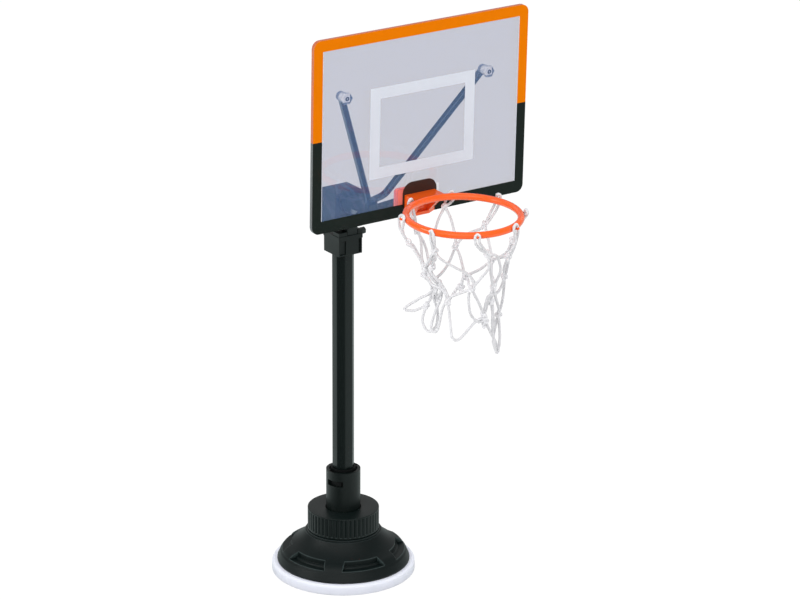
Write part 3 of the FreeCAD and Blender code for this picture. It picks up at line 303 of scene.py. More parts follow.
@dataclass
class Maker:
    """Turns grids of points in millimetres into Blender objects in metres."""

    crease: float = math.radians(32)
    merge: float = 2e-7
    node_merge: float = 2e-6
    flat_angle: float = math.radians(1.2)

    def grid(self, name: str, *grids: np.ndarray, wrap_rows: bool = False, outward: bool = True,
             pitch: float = 0.0) -> bpy.types.Object:
        """One object from one or more grids whose columns close round.

        Args:
            name: the object's name.
            grids: arrays of (rows, columns, 3) points in millimetres.
            wrap_rows: whether the last row runs on to the first.
            outward: whether to recalculate the normals of a closed form.
            pitch: how much the map's u grows with each row, or 0 for 1 over all the rows.

        Returns:
            The new object, at the origin.
        """
        places, faces, maps, start = [], [], [], 0
        for points in grids:
            rows, columns = points.shape[:2]
            count = rows if wrap_rows else rows - 1
            i, j = np.meshgrid(np.arange(count), np.arange(columns), indexing="ij")
            i2, j2 = (i + 1) % rows, (j + 1) % columns
            quads = np.stack([i * columns + j, i * columns + j2, i2 * columns + j2, i2 * columns + j], 2)
            faces.append(quads.reshape(-1, 4) + start)
            u = np.stack([i, i, i + 1, i + 1], 2) * (pitch or 1 / max(count, 1))
            v = np.stack([j, j + 1, j + 1, j], 2) / columns
            maps.append(np.stack([u, v], 3).reshape(-1, 2))
            places.append(points.reshape(-1, 3))
            start += rows * columns
        mesh = bpy.data.meshes.new(name)
        mesh.from_pydata((np.concatenate(places) * MM).tolist(), [], np.concatenate(faces).tolist())
        layer = mesh.uv_layers.new(name=MAP)
        layer.data.foreach_set("uv", np.concatenate(maps).astype(np.float32).ravel())
        return self.finished(name, mesh, outward)

    def shaded(self, name: str, mesh: bpy.types.Mesh) -> bpy.types.Object:
        """A mesh's new object, shaded smooth with its creases kept sharp.

        Args:
            name: the object's name.
            mesh: its mesh.

        Returns:
            The object.
        """
        mesh.shade_smooth()
        mesh.set_sharp_from_angle(angle=self.crease)
        return linked(name, mesh)

    def finished(self, name: str, mesh: bpy.types.Mesh, outward: bool = True) -> bpy.types.Object:
        """A mesh's new object, with its poles and seams merged first.

        Args:
            name: the object's name.
            mesh: its mesh.
            outward: whether to turn its faces outwards.

        Returns:
            The object.
        """
        work = bmesh.new()
        work.from_mesh(mesh)
        bmesh.ops.remove_doubles(work, verts=work.verts, dist=self.merge)
        bmesh.ops.dissolve_degenerate(work, edges=work.edges, dist=self.merge / 2)
        if outward:
            bmesh.ops.recalc_face_normals(work, faces=work.faces)
        work.to_mesh(mesh)
        work.free()
        return self.shaded(name, mesh)

    def edged(self, piece: bpy.types.Object, low: float = 0.06, high: float = 0.22) -> bpy.types.Object:
        """Give a piece its "edge" values: at a corner P with normal n and neighbours Q, the mean of
        n . (P - Q) / |P - Q|, stepped from low to high.

        Args:
            piece: the object.
            low: the mean at which an edge begins to show.
            high: the mean at which it shows in full.

        Returns:
            The same object.
        """
        mesh = piece.data
        places, normals = (np.empty(len(mesh.vertices) * 3) for _ in range(2))
        mesh.vertices.foreach_get("co", places)
        mesh.vertices.foreach_get("normal", normals)
        pairs = np.empty(len(mesh.edges) * 2, int)
        mesh.edges.foreach_get("vertices", pairs)
        places, normals, pairs = places.reshape(-1, 3), normals.reshape(-1, 3), pairs.reshape(-1, 2)
        here, there = np.concatenate([pairs, pairs[:, ::-1]]).T
        outward = (unit(places[here] - places[there]) * normals[here]).sum(1)
        mean = np.bincount(here, outward, len(places)) / np.bincount(here, minlength=len(places))
        # These values set where EdgedFinish paints its edge highlight
        values = mesh.attributes.new("edge", "FLOAT", "POINT")
        values.data.foreach_set("value", smooth_step(mean, low, high).astype(np.float32))
        return piece

    def rounded(self, piece: bpy.types.Object, width: float, segments: int, angle: float) -> bpy.types.Object:
        """Round a piece's edges by a bevel.

        Args:
            piece: the object.
            width: the bevel's width in millimetres.
            segments: steps across the bevel.
            angle: the edge angle in degrees above which it applies.

        Returns:
            The same object.
        """
        bevel = piece.modifiers.new("RoundedEdges", "BEVEL")
        bevel.width = width * MM
        bevel.segments = segments
        bevel.limit_method = "ANGLE"
        bevel.angle_limit = math.radians(angle)
        return piece

    def softened(self, node: str, name: str, width: float) -> bpy.types.Object:
        """A copy of a CAD node with its corners merged, its flat faces joined and its edges rounded.

        Args:
            node: the CAD node's name.
            name: the new object's name.
            width: the bevel's width in millimetres.

        Returns:
            The new object.
        """
        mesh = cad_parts[node].data.copy()
        mesh.name = name
        mesh.materials.clear()
        work = bmesh.new()
        work.from_mesh(mesh)
        bmesh.ops.remove_doubles(work, verts=work.verts, dist=self.node_merge)
        bmesh.ops.dissolve_limit(work, angle_limit=self.flat_angle, verts=work.verts, edges=work.edges)
        work.to_mesh(mesh)
        work.free()
        if mesh.has_custom_normals:
            mesh.normals_split_custom_set_from_vertices([vertex.normal for vertex in mesh.vertices])
        return self.rounded(self.shaded(name, mesh), width, segments=2, angle=35)


MAKE = Maker()


# Finishes

Colour = tuple[float, float, float]
Value = Union[bpy.types.NodeSocket, float, Sequence[float]]


@dataclass
class Graph:
    """A node tree, with short ways of adding nodes to it."""

    tree: bpy.types.NodeTree

    def fill(self, target: bpy.types.Node, values: dict[Union[str, int], Value]) -> bpy.types.Node:
        """Link the inputs that are given as sockets, and set the others.

        Args:
            target: the node.
            values: its inputs, by name or number.

        Returns:
            The same node.
        """
        for label, value in values.items():
            if isinstance(value, bpy.types.NodeSocket):
                self.tree.links.new(value, target.inputs[label])
            else:
                target.inputs[label].default_value = value
        return target

    def node(self, kind: str, values: Optional[dict[Union[str, int], Value]] = None,
             **settings: object) -> bpy.types.Node:
        """A shader node.

        Args:
            kind: its type, without the word ShaderNode.
            values: its inputs, by name or number.
            settings: its own settings.

        Returns:
            The node.
        """
        made = self.tree.nodes.new("ShaderNode" + kind)
        for label, value in settings.items():
            setattr(made, label, value)
        return self.fill(made, values or {})

    def calc(self, operation: str, *values: Value) -> bpy.types.NodeSocket:
        """The result of a Math node."""
        return self.node("Math", dict(enumerate(values)), operation=operation).outputs[0]

    def mix(self, factor: Value, *ends: Value) -> bpy.types.NodeSocket:
        """A colour between two, which are sockets or red, green and blue, by a factor."""
        first, second = (end if isinstance(end, bpy.types.NodeSocket) else (*end, 1) for end in ends)
        return self.node("Mix", {0: factor, 6: first, 7: second}, data_type="RGBA").outputs[2]

    def shader(self, factor: Value, first: bpy.types.Node, second: bpy.types.Node) -> bpy.types.Node:
        """A Mix Shader of two shaders by a factor."""
        return self.node("MixShader", {0: factor, 1: first.outputs[0], 2: second.outputs[0]})

    def noise(self, place: Value, scale: Value, **values: Value) -> bpy.types.NodeSocket:
        """The value of a Noise Texture."""
        return self.node("TexNoise", {"Vector": place, "Scale": scale, **values}).outputs["Fac"]

    def axes(self, vector: Value) -> bpy.types.NodeOutputs:
        """A vector's X, Y and Z."""
        return self.node("SeparateXYZ", {0: vector}).outputs

    def place(self) -> bpy.types.NodeSocket:
        """The Object coordinates."""
        found = self.tree.nodes.get("Place") or self.node("TexCoord", name="Place")
        return found.outputs["Object"]

    def surface(self) -> bpy.types.NodeSocket:
        """The piece's own map."""
        return self.node("UVMap", uv_map=MAP).outputs[0]

    def group(self, source: bpy.types.NodeTree, values: dict[str, Value]) -> bpy.types.NodeOutputs:
        """The outputs of a shared group."""
        return self.node("Group", values, node_tree=source).outputs


def shared_group(name: str, vector: str, numbers: dict[str, float], results: Sequence[str]
                 ) -> tuple[Graph, bpy.types.NodeOutputs, bpy.types.Node]:
    """An empty node group with named sockets.

    Args:
        name: the group's name.
        vector: its vector input's name.
        numbers: its other inputs' names and first values.
        results: its outputs' names.

    Returns:
        The group's graph, what comes in, and the node that takes what goes out.
    """
    tree = bpy.data.node_groups.new(name, "ShaderNodeTree")
    tree.interface.new_socket(vector, in_out="INPUT", socket_type="NodeSocketVector")
    for label, value in numbers.items():
        socket = tree.interface.new_socket(label, in_out="INPUT", socket_type="NodeSocketFloat")
        socket.default_value = value
    for label in results:
        tree.interface.new_socket(label, in_out="OUTPUT", socket_type="NodeSocketFloat")
    return Graph(tree), tree.nodes.new("NodeGroupInput").outputs, tree.nodes.new("NodeGroupOutput")


def moulding_group() -> bpy.types.NodeTree:
    """Moulded plastic: a fine pebble as Height and a broad, soft unevenness as Mottle.

    Returns:
        The group.
    """
    scales = {"Pebble Scale": 2600.0, "Mottle Scale": 45.0}
    graph, given, out = shared_group("MouldedSurface", "Place", scales, ("Height", "Mottle"))
    fine = graph.noise(given["Place"], given["Pebble Scale"], Detail=3.0, Roughness=0.6)
    broad = graph.noise(given["Place"], given["Mottle Scale"], Detail=2.0, Distortion=0.4)
    graph.fill(out, {"Height": fine, "Mottle": broad})
    return graph.tree


def marks_group() -> bpy.types.NodeTree:
    """Handling marks: thin, long noise streaks n, kept only where a broad noise b is high. The mask is
    max(0, 9 (n - 0.62)) * max(0, 6 (b - 0.95 + density)), up to 1.

    Returns:
        The group.
    """
    graph, given, out = shared_group("HandlingMarks", "Place", {"Density": 0.5}, ("Mask",))
    turned = graph.node("Mapping", {"Vector": given["Place"], "Rotation": (0.3, 0.5, 0.2),
                                    "Scale": (1.0, 1.0, 0.08)}).outputs[0]
    streak = graph.noise(turned, 1500.0, Detail=1.0)
    streak = graph.calc("MULTIPLY", graph.calc("SUBTRACT", streak, 0.62), 9.0)
    start = graph.calc("SUBTRACT", 0.95, given["Density"])
    patch = graph.calc("SUBTRACT", graph.noise(given["Place"], 60.0), start)
    patch = graph.calc("MULTIPLY", patch, 6.0)
    both = graph.calc("MULTIPLY", graph.calc("MAXIMUM", streak, 0.0), graph.calc("MAXIMUM", patch, 0.0))
    graph.fill(out, {"Mask": graph.node("Clamp", {"Value": both}).outputs[0]})
    return graph.tree


def braid_group() -> bpy.types.NodeTree:
    """A braided cord's surface on its UV map: two families of strands that cross, sin(a + b) * sin(a - b).

    Returns:
        The group.
    """
    graph, given, out = shared_group("BraidedCord", "Map", {"Turns": 36.0, "Strands": 4.0}, ("Height",))
    axes = graph.axes(given["Map"])
    along, around = (graph.calc("MULTIPLY", graph.calc("MULTIPLY", axes[axis], given[count]), ROUND)
                     for axis, count in (("X", "Turns"), ("Y", "Strands")))
    left, right = (graph.calc("SINE", graph.calc(kind, along, around)) for kind in ("ADD", "SUBTRACT"))
    cross = graph.calc("MULTIPLY", left, right)
    graph.fill(out, {"Height": graph.calc("MULTIPLY_ADD", cross, 0.5, 0.5)})
    return graph.tree


def edge_highlight_group() -> bpy.types.NodeTree:
    """Painted edge highlights: the piece's edge value times a broad noise, e (0.6 + 0.8 n), so the highlight
    is patchy.

    Returns:
        The group.
    """
    graph, given, out = shared_group("PaintedEdgeHighlight", "Place", {"Edge": 0.0, "Patch Scale": 220.0}, ("Highlight",))
    # Painted highlight: strongest on sharp outward corners, broken into patches by the noise
    share = graph.calc("MULTIPLY_ADD", graph.noise(given["Place"], given["Patch Scale"]), 0.8, 0.6)
    graph.fill(out, {"Highlight": graph.calc("MULTIPLY", share, given["Edge"])})
    return graph.tree


MOULDING = moulding_group()
MARKS = marks_group()
BRAID = braid_group()
EDGE_HIGHLIGHT = edge_highlight_group()


@dataclass(frozen=True)
class Finish:
    """A plastic, ink or metal surface with moulding texture and handling marks, and the record's slot that it
    stands for. The base colour varies a little with the mottle, and roughness rises in the marks."""

    name: str
    slot: str
    colour: Colour
    rough: float = 0.4
    vary: float = 0.12
    bump: float = 0.15
    pebble: float = 2600.0
    marks: float = 0.35
    metal: float = 0.0
    specular: float = 0.5
    coat: float = 0.0
    alpha: float = 1.0
    # Emission strength in the finish's own colour: painted light, for parts that are no lamp
    painted_glow: float = 0.0
    mottle: float = 48.0
    depth: float = 0.00012
    coat_rough: float = 0.08
    mark_rough: float = 0.16
    mottle_rough: float = 0.07
    rough_drop: float = 0.03

    def start(self) -> tuple[bpy.types.Material, Graph, bpy.types.Node]:
        """A new material, with plain values set on its shader's own sockets.

        Returns:
            The material, its graph and its Principled shader.
        """
        material = bpy.data.materials.new(self.name)
        material.use_nodes = True
        graph = Graph(material.node_tree)
        shader = graph.fill(graph.tree.nodes["Principled BSDF"], {
            "Roughness": self.rough, "Metallic": self.metal, "Specular IOR Level": self.specular,
            "Coat Weight": self.coat, "Coat Roughness": self.coat_rough, "Alpha": self.alpha,
            "Emission Color": (*self.colour, 1), "Emission Strength": self.painted_glow})
        return material, graph, shader

    def moulding(self, graph: Graph) -> bpy.types.NodeOutputs:
        """The moulding's Height and Mottle at this finish's scales."""
        return graph.group(MOULDING, {"Place": graph.place(), "Pebble Scale": self.pebble,
                                      "Mottle Scale": self.mottle})

    def marked(self, graph: Graph) -> bpy.types.NodeSocket:
        """The mask of handling marks at this finish's density."""
        return graph.group(MARKS, {"Place": graph.place(), "Density": self.marks})["Mask"]

    def shade(self, graph: Graph, factor: Value) -> bpy.types.NodeSocket:
        """The colour from its darker to its lighter end: c (1 - v) to c (1 + v), at most 1."""
        return graph.mix(factor, tuple(part * (1 - self.vary) for part in self.colour),
                         tuple(min(part * (1 + self.vary), 1.0) for part in self.colour))

    def bumped(self, graph: Graph, height: Value) -> bpy.types.NodeSocket:
        """The normal of a height."""
        return graph.node("Bump", {"Strength": self.bump, "Distance": self.depth,
                                   "Height": height}).outputs["Normal"]

    def build(self) -> bpy.types.Material:
        """The material: mottle in its colour, marks and mottle in its roughness, and the pebble in relief.

        Returns:
            The finished material.
        """
        material, graph, shader = self.start()
        surface = self.moulding(graph)
        rough = graph.calc("MULTIPLY_ADD", self.marked(graph), self.mark_rough, self.rough - self.rough_drop)
        graph.fill(shader, {
            "Base Color": self.shade(graph, surface["Mottle"]),
            "Roughness": graph.calc("MULTIPLY_ADD", surface["Mottle"], self.mottle_rough, rough),
            "Normal": self.bumped(graph, surface["Height"])})
        return material


@dataclass(frozen=True)
class ClearFinish(Finish):
    """Milky clear plastic: at each face a share of what is behind passes through in a faint warm tint, and a
    cool veil covers it. The sheet's side faces carry a painted reflection of the border prints, grey below
    and orange above, and the veil is thin over the back plate."""

    mottle: float = 20.0
    depth: float = 0.0004
    mark_rough: float = 0.1
    passing: Colour = (0.9, 0.868, 0.845)
    veil: float = 0.2
    plate_veil: float = 0.2
    side_veil: float = 0.85
    side_map: float = 0.385
    # Painted reflections of the border prints on the sheet's side faces, below and above the split
    lower_edge_painted_reflection: Colour = (0.05, 0.062, 0.07)
    upper_edge_painted_reflection: Colour = (0.5, 0.085, 0.0015)
    split: float = 0.331
    plate_centre: tuple[float, float] = (-0.0008, 0.2815)
    plate_half: tuple[float, float] = (0.0152, 0.0079)
    index: float = 1.6
    gloss: Colour = (0.95, 0.97, 1.0)
    gloss_rough: float = 0.02

    def side_faces(self, graph: Graph) -> bpy.types.NodeSocket:
        """A mask of the sheet's side faces, where the map's u is less than side_map from 0.5."""
        off_middle = graph.calc("SUBTRACT", graph.axes(graph.surface())["X"], 0.5)
        return graph.calc("LESS_THAN", graph.calc("ABSOLUTE", off_middle), self.side_map)

    def over_plate(self, graph: Graph, axes: bpy.types.NodeOutputs) -> bpy.types.NodeSocket:
        """A mask of the rectangle in front of the back plate.

        Args:
            graph: the material's graph.
            axes: the place's X, Y and Z.

        Returns:
            The mask.
        """
        found = []
        for axis, centre, half in zip("XZ", self.plate_centre, self.plate_half):
            away = graph.calc("ABSOLUTE", graph.calc("SUBTRACT", axes[axis], centre))
            found.append(graph.calc("LESS_THAN", away, half))
        return graph.calc("MULTIPLY", *found)

    def build(self) -> bpy.types.Material:
        """The material: the Principled veil mixed with a Transparent shader by the masks, under a mirror that
        the Fresnel value brings in on front faces.

        Returns:
            The finished material.
        """
        material, graph, shader = self.start()
        surface = self.moulding(graph)
        axes = graph.axes(graph.place())
        side = self.side_faces(graph)
        plate = self.over_plate(graph, axes)
        upper = graph.calc("GREATER_THAN", axes["Z"], self.split)
        graph.fill(shader, {
            # Side faces take the painted reflection colours in place of the veil's
            "Base Color": graph.mix(side, self.shade(graph, surface["Mottle"]),
                                    graph.mix(upper, self.lower_edge_painted_reflection, self.upper_edge_painted_reflection)),
            "Roughness": graph.calc("MULTIPLY_ADD", self.marked(graph), self.mark_rough, self.rough),
            "Normal": self.bumped(graph, surface["Mottle"])})
        thin = graph.calc("MULTIPLY_ADD", plate, self.plate_veil - 1.0, 1.0)
        amount = graph.calc("MAXIMUM", graph.calc("MULTIPLY", thin, self.veil),
                            graph.calc("MULTIPLY", side, self.side_veil))
        through = graph.node("BsdfTransparent", {"Color": graph.mix(plate, self.passing, (1.0, 1.0, 1.0))})
        shape = graph.node("NewGeometry").outputs
        facing = graph.node("Fresnel", {"IOR": self.index, "Normal": shape["True Normal"]}).outputs[0]
        front = graph.calc("MULTIPLY", facing, graph.calc("SUBTRACT", 1.0, shape["Backfacing"]))
        mirror = graph.node("BsdfGlossy", {"Normal": shape["True Normal"], "Color": (*self.gloss, 1),
                                           "Roughness": self.gloss_rough})
        whole = graph.shader(front, graph.shader(amount, through, shader), mirror)
        graph.fill(graph.tree.nodes["Material Output"], {"Surface": whole.outputs[0]})
        return material


@dataclass(frozen=True)
class BossFinish(Finish):
    """Clear moulded bosses with painted light: a painted emission, painted brightness where they face the
    eye, and painted blue-grey shade towards their outlines and in bands down and to the right, with a dark
    ring where the screw's thread shows through."""

    mottle: float = 300.0
    depth: float = 0.0004
    # Painted shade colour towards the outlines and on the facets
    outline: Colour = (0.1, 0.135, 0.21)
    thread: Colour = (0.02, 0.02, 0.025)
    axis: tuple[float, float] = (0.053, 0.35428)
    ring_middle: float = 0.0009
    ring_half: float = 0.0005
    facet_start: float = 0.0019
    # Blend of the painted brightness that follows the view
    facing: float = 0.45
    mottle_share: float = 0.9
    painted_facet_shade: float = 0.75
    painted_brightness_offset: float = 0.55

    def masks(self, graph: Graph) -> tuple[bpy.types.NodeSocket, bpy.types.NodeSocket]:
        """Masks on the boss by the place from its screw's axis.

        Args:
            graph: the material's graph.

        Returns:
            The ring round the axis, and the facets, which take painted shade, to the right of it or below it
            by more than facet_start.
        """
        calc, axes = graph.calc, graph.axes(graph.place())
        across = calc("SUBTRACT", axes["X"], calc("MULTIPLY", calc("SIGN", axes["X"]), self.axis[0]))
        down = calc("SUBTRACT", self.axis[1], axes["Z"])
        away = calc("SQRT", calc("ADD", calc("MULTIPLY", across, across), calc("MULTIPLY", down, down)))
        ring = calc("LESS_THAN", calc("ABSOLUTE", calc("SUBTRACT", away, self.ring_middle)), self.ring_half)
        return ring, calc("GREATER_THAN", calc("MAXIMUM", across, down), self.facet_start)

    def build(self) -> bpy.types.Material:
        """The material: its colour runs to the painted outline shade by the Facing value and on the facets,
        and to the thread's by the ring's mask. It also emits that colour as painted light.

        Returns:
            The finished material.
        """
        material, graph, shader = self.start()
        mottle = self.moulding(graph)["Mottle"]
        facing = graph.node("LayerWeight", {"Blend": self.facing}).outputs["Facing"]
        ring, facet = self.masks(graph)
        share = graph.calc("MULTIPLY_ADD", mottle, self.mottle_share, facing)
        share = graph.calc("MULTIPLY_ADD", facet, self.painted_facet_shade, share)
        share = graph.calc("SUBTRACT", share, self.painted_brightness_offset)
        colour = graph.mix(ring, graph.mix(share, self.colour, self.outline), self.thread)
        # Painted light: the colour is also emitted, so the bosses light themselves
        graph.fill(shader, {"Base Color": colour, "Emission Color": colour,
                            "Normal": self.bumped(graph, mottle)})
        return material


@dataclass(frozen=True)
class EdgedFinish(Finish):
    """A plastic whose outward corners, given by the piece's "edge" values, carry a painted highlight a little
    lighter.
    """

    # Colour of the painted highlight on the outward corners
    edge_highlight_colour: Colour = (0.036, 0.054, 0.054)

    def build(self) -> bpy.types.Material:
        """The material: the plain finish, its colour carried to the painted highlight colour by the edge
        value.

        Returns:
            The finished material.
        """
        material = super().build()
        graph = Graph(material.node_tree)
        shader = graph.tree.nodes["Principled BSDF"]
        edge = graph.node("Attribute", attribute_name="edge").outputs["Fac"]
        # Painted highlight on the outward corners, patchy by the noise
        edge_highlight = graph.group(EDGE_HIGHLIGHT, {"Place": graph.place(), "Edge": edge})["Highlight"]
        plain = shader.inputs["Base Color"].links[0].from_socket
        graph.fill(shader, {"Base Color": graph.mix(edge_highlight, plain, self.edge_highlight_colour)})
        return material


@dataclass(frozen=True)
class CordFinish(Finish):
    """Braided white cord: crossing strands from the braid group, with painted shade in the gaps between them.
    """

    mottle: float = 160.0
    depth: float = 0.00025
    turns: float = 4.0
    strands: float = 4.0
    light: float = 0.3
    fibre_light: float = 0.5
    braid_gap_shade: float = 0.35
    fibre_height: float = 0.35
    sheen: float = 0.25
    sheen_rough: float = 0.5

    def build(self) -> bpy.types.Material:
        """The material: strands on the cord's own map, in relief and in the colour, where the gaps get
        painted shade.

        Returns:
            The finished material.
        """
        material, graph, shader = self.start()
        braid = graph.group(BRAID, {"Map": graph.surface(), "Turns": self.turns, "Strands": self.strands})
        fibre = self.moulding(graph)
        shade = graph.calc("MULTIPLY_ADD", fibre["Mottle"], self.fibre_light, self.light)
        # Painted shade: the braid's height darkens the colour in the gaps between strands
        shade = graph.calc("MULTIPLY_ADD", braid["Height"], self.braid_gap_shade, shade)
        height = graph.calc("MULTIPLY_ADD", fibre["Height"], self.fibre_height, braid["Height"])
        graph.fill(shader, {
            "Base Color": self.shade(graph, shade), "Normal": self.bumped(graph, height),
            "Sheen Weight": self.sheen, "Sheen Roughness": self.sheen_rough})
        return material


@dataclass(frozen=True)
class PadFinish(Finish):
    """Translucent white vinyl with light scattered inside, and painted light that makes it paler near its top
    edge.
    """

    mottle: float = 30.0
    depth: float = 0.0001
    # How fast the painted light grows with height
    rise: float = 150.0
    mottle_light: float = 0.2
    scatter: float = 0.25
    scatter_depth: float = 0.004
    scatter_colours: Colour = (1.0, 1.0, 1.1)

    def build(self) -> bpy.types.Material:
        """The material: a height gradient of painted light and a little subsurface scatter.

        Returns:
            The finished material.
        """
        material, graph, shader = self.start()
        surface = self.moulding(graph)
        # Painted light: the colour grows paler with height, towards the top edge
        rise = graph.calc("MULTIPLY", graph.axes(graph.place())["Z"], self.rise)
        rise = graph.calc("MULTIPLY_ADD", surface["Mottle"], self.mottle_light, rise)
        graph.fill(shader, {
            "Base Color": self.shade(graph, rise), "Normal": self.bumped(graph, surface["Height"]),
            "Subsurface Weight": self.scatter, "Subsurface Scale": self.scatter_depth,
            "Subsurface Radius": self.scatter_colours})
        return material


class Ink(Enum):
    """The board's printed layers: name, record slot, colour, and then rough, vary and specular."""

    ORANGE = ("OrangeBorderInk", "orange_print", (0.75, 0.18, 0.0), 0.25, 0.03, 0.02)
    BLACK = ("BlackBorderInk", "black_print", (0.0085, 0.0135, 0.011), 0.2, 0.1, 0.15)
    WHITE = ("WhiteLineInk", "white_print", (0.64, 0.67, 0.74), 0.3, 0.03, 0.1)
    ARCH = ("DarkArchInk", "dark_print", (0.046, 0.024, 0.019), 0.2, 0.1, 0.12)

    def finish(self) -> Finish:
        """The ink's finish."""
        *start, vary, specular = self.value
        return Finish(*start, vary, 0.03, 1500.0, specular=specular)


BLACK = "black_plastic"
FINISHES: dict[str, Finish] = {
    "black": Finish("SatinBlackPlastic", BLACK, (0.0024, 0.0058, 0.0052), 0.38, 0.2, 0.2, 3000.0),
    # The dome, the ring and the arms are EdgedFinish: their outward corners carry a painted highlight
    "dome": EdgedFinish("DomeBlackPlastic", BLACK, (0.0014, 0.0056, 0.0056), 0.46, 0.2, 0.2, 3000.0),
    "deep": Finish("ShadedBlackPlastic", BLACK, (0.004, 0.005, 0.0052), 0.5, 0.2, 0.2, 3000.0, specular=0.2),
    "knob": Finish("KnobBlackPlastic", BLACK, (0.02, 0.027, 0.027), 0.4, 0.2, 0.2, 3000.0),
    "pole": Finish("PoleBlackPlastic", BLACK, (0.0034, 0.0068, 0.0064), 0.24, 0.15, 0.08, 2200.0),
    "ring": EdgedFinish("RingBlackPlastic", BLACK, (0.0024, 0.0066, 0.0062), 0.38, 0.2, 0.2, 3000.0),
    # The arms' pale blue-grey is the colour of their painted edge highlight
    "arm": EdgedFinish("ArmBlackPlastic", BLACK, (0.0034, 0.008, 0.009), 0.2, 0.15, 0.05, 2200.0, coat=0.5,
                       edge_highlight_colour=(0.15, 0.185, 0.22)),
    "clear": ClearFinish("ClearBoardPlastic", "clear_plastic", (0.14, 0.28, 0.6), 0.4, 0.04, 0.02, 900.0, 0.3,
                         specular=0.0),
    # The bosses carry painted light: painted brightness, painted shade bands and emission
    "boss": BossFinish("ClearBossPlastic", "clear_plastic", (1.0, 1.0, 1.0), 0.06, 0.0, 0.3, 900.0,
                       alpha=0.96, coat=0.8, painted_glow=0.42),
    # A black part given a pale blue-grey: painted light
    "eyelet": Finish("EyeletPaintedPalePlastic", BLACK, (0.3, 0.34, 0.44), 0.25, 0.2, 0.1, 2200.0),
    "orange_ink": Ink.ORANGE.finish(),
    "black_ink": Ink.BLACK.finish(),
    "white_ink": Ink.WHITE.finish(),
    "arch_ink": Ink.ARCH.finish(),
    "orange": Finish("OrangeRimPlastic", "orange_plastic", (1.0, 0.12, 0.008), 0.16, 0.04, 0.05, 1800.0,
                     specular=0.8, coat=0.5),
    # The back plate is painted paler and emits its own colour: painted light
    "plate": Finish("OrangePlatePlastic", "orange_plastic", (1.0, 0.21, 0.14), 0.3, 0.04, 0.05, 1800.0,
                    specular=0.3, painted_glow=0.42),
    "steel": Finish("BrightSteel", "steel", (0.55, 0.56, 0.58), 0.28, 0.1, 0.1, 4000.0, metal=1.0),
    "vinyl": PadFinish("PadVinyl", "pad_vinyl", (0.7, 0.72, 0.8), 0.34, 0.08, 0.06, 1200.0),
    "cord": CordFinish("NetCord", "net_cord", (0.72, 0.72, 0.74), 0.62, 0.12, 0.35, 5200.0, specular=0.2),
}


# The toy's sub-assemblies

@dataclass
class SubAssembly:
    """A group of pieces that share a palette, most of them on one body."""

    palette: dict[str, bpy.types.Material]
    body: str = "board"
    pieces: list[str] = field(default_factory=list)

    def coat(self, piece: bpy.types.Object, finish: str) -> None:
        """Give a piece its material and note its name.

        Args:
            piece: the object.
            finish: its finish's key.
        """
        piece.data.materials.clear()
        piece.data.materials.append(self.palette[finish])
        self.pieces.append(piece.name)

    def dress(self, piece: bpy.types.Object, finish: str, *replaced: str, body: str = "") -> None:
        """Give a piece its material and body, and hide the CAD nodes that it stands for.

        Args:
            piece: the object.
            finish: its finish's key.
            replaced: CAD nodes that it stands for.
            body: the CAD body that carries it, where it isn't the sub-assembly's.
        """
        carrier = body or self.body
        self.coat(piece, finish)
        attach(piece, carrier)
        if replaced:
            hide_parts(*replaced)
        LOG.info("%s: %d faces on %s", piece.name, len(piece.data.polygons), carrier)

    def soften(self, node: str, finish: str, width: float, body: str = "") -> None:
        """Replace a CAD node by its copy with edges rounded to a width in millimetres."""
        self.dress(MAKE.softened(node, node + "_soft", width), finish, node, body=body)

    def keep(self, node: str, finish: str) -> None:
        """Keep a CAD node whose shape is right, in a new finish."""
        self.coat(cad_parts[node], finish)
        LOG.info("%s: CAD node kept", node)


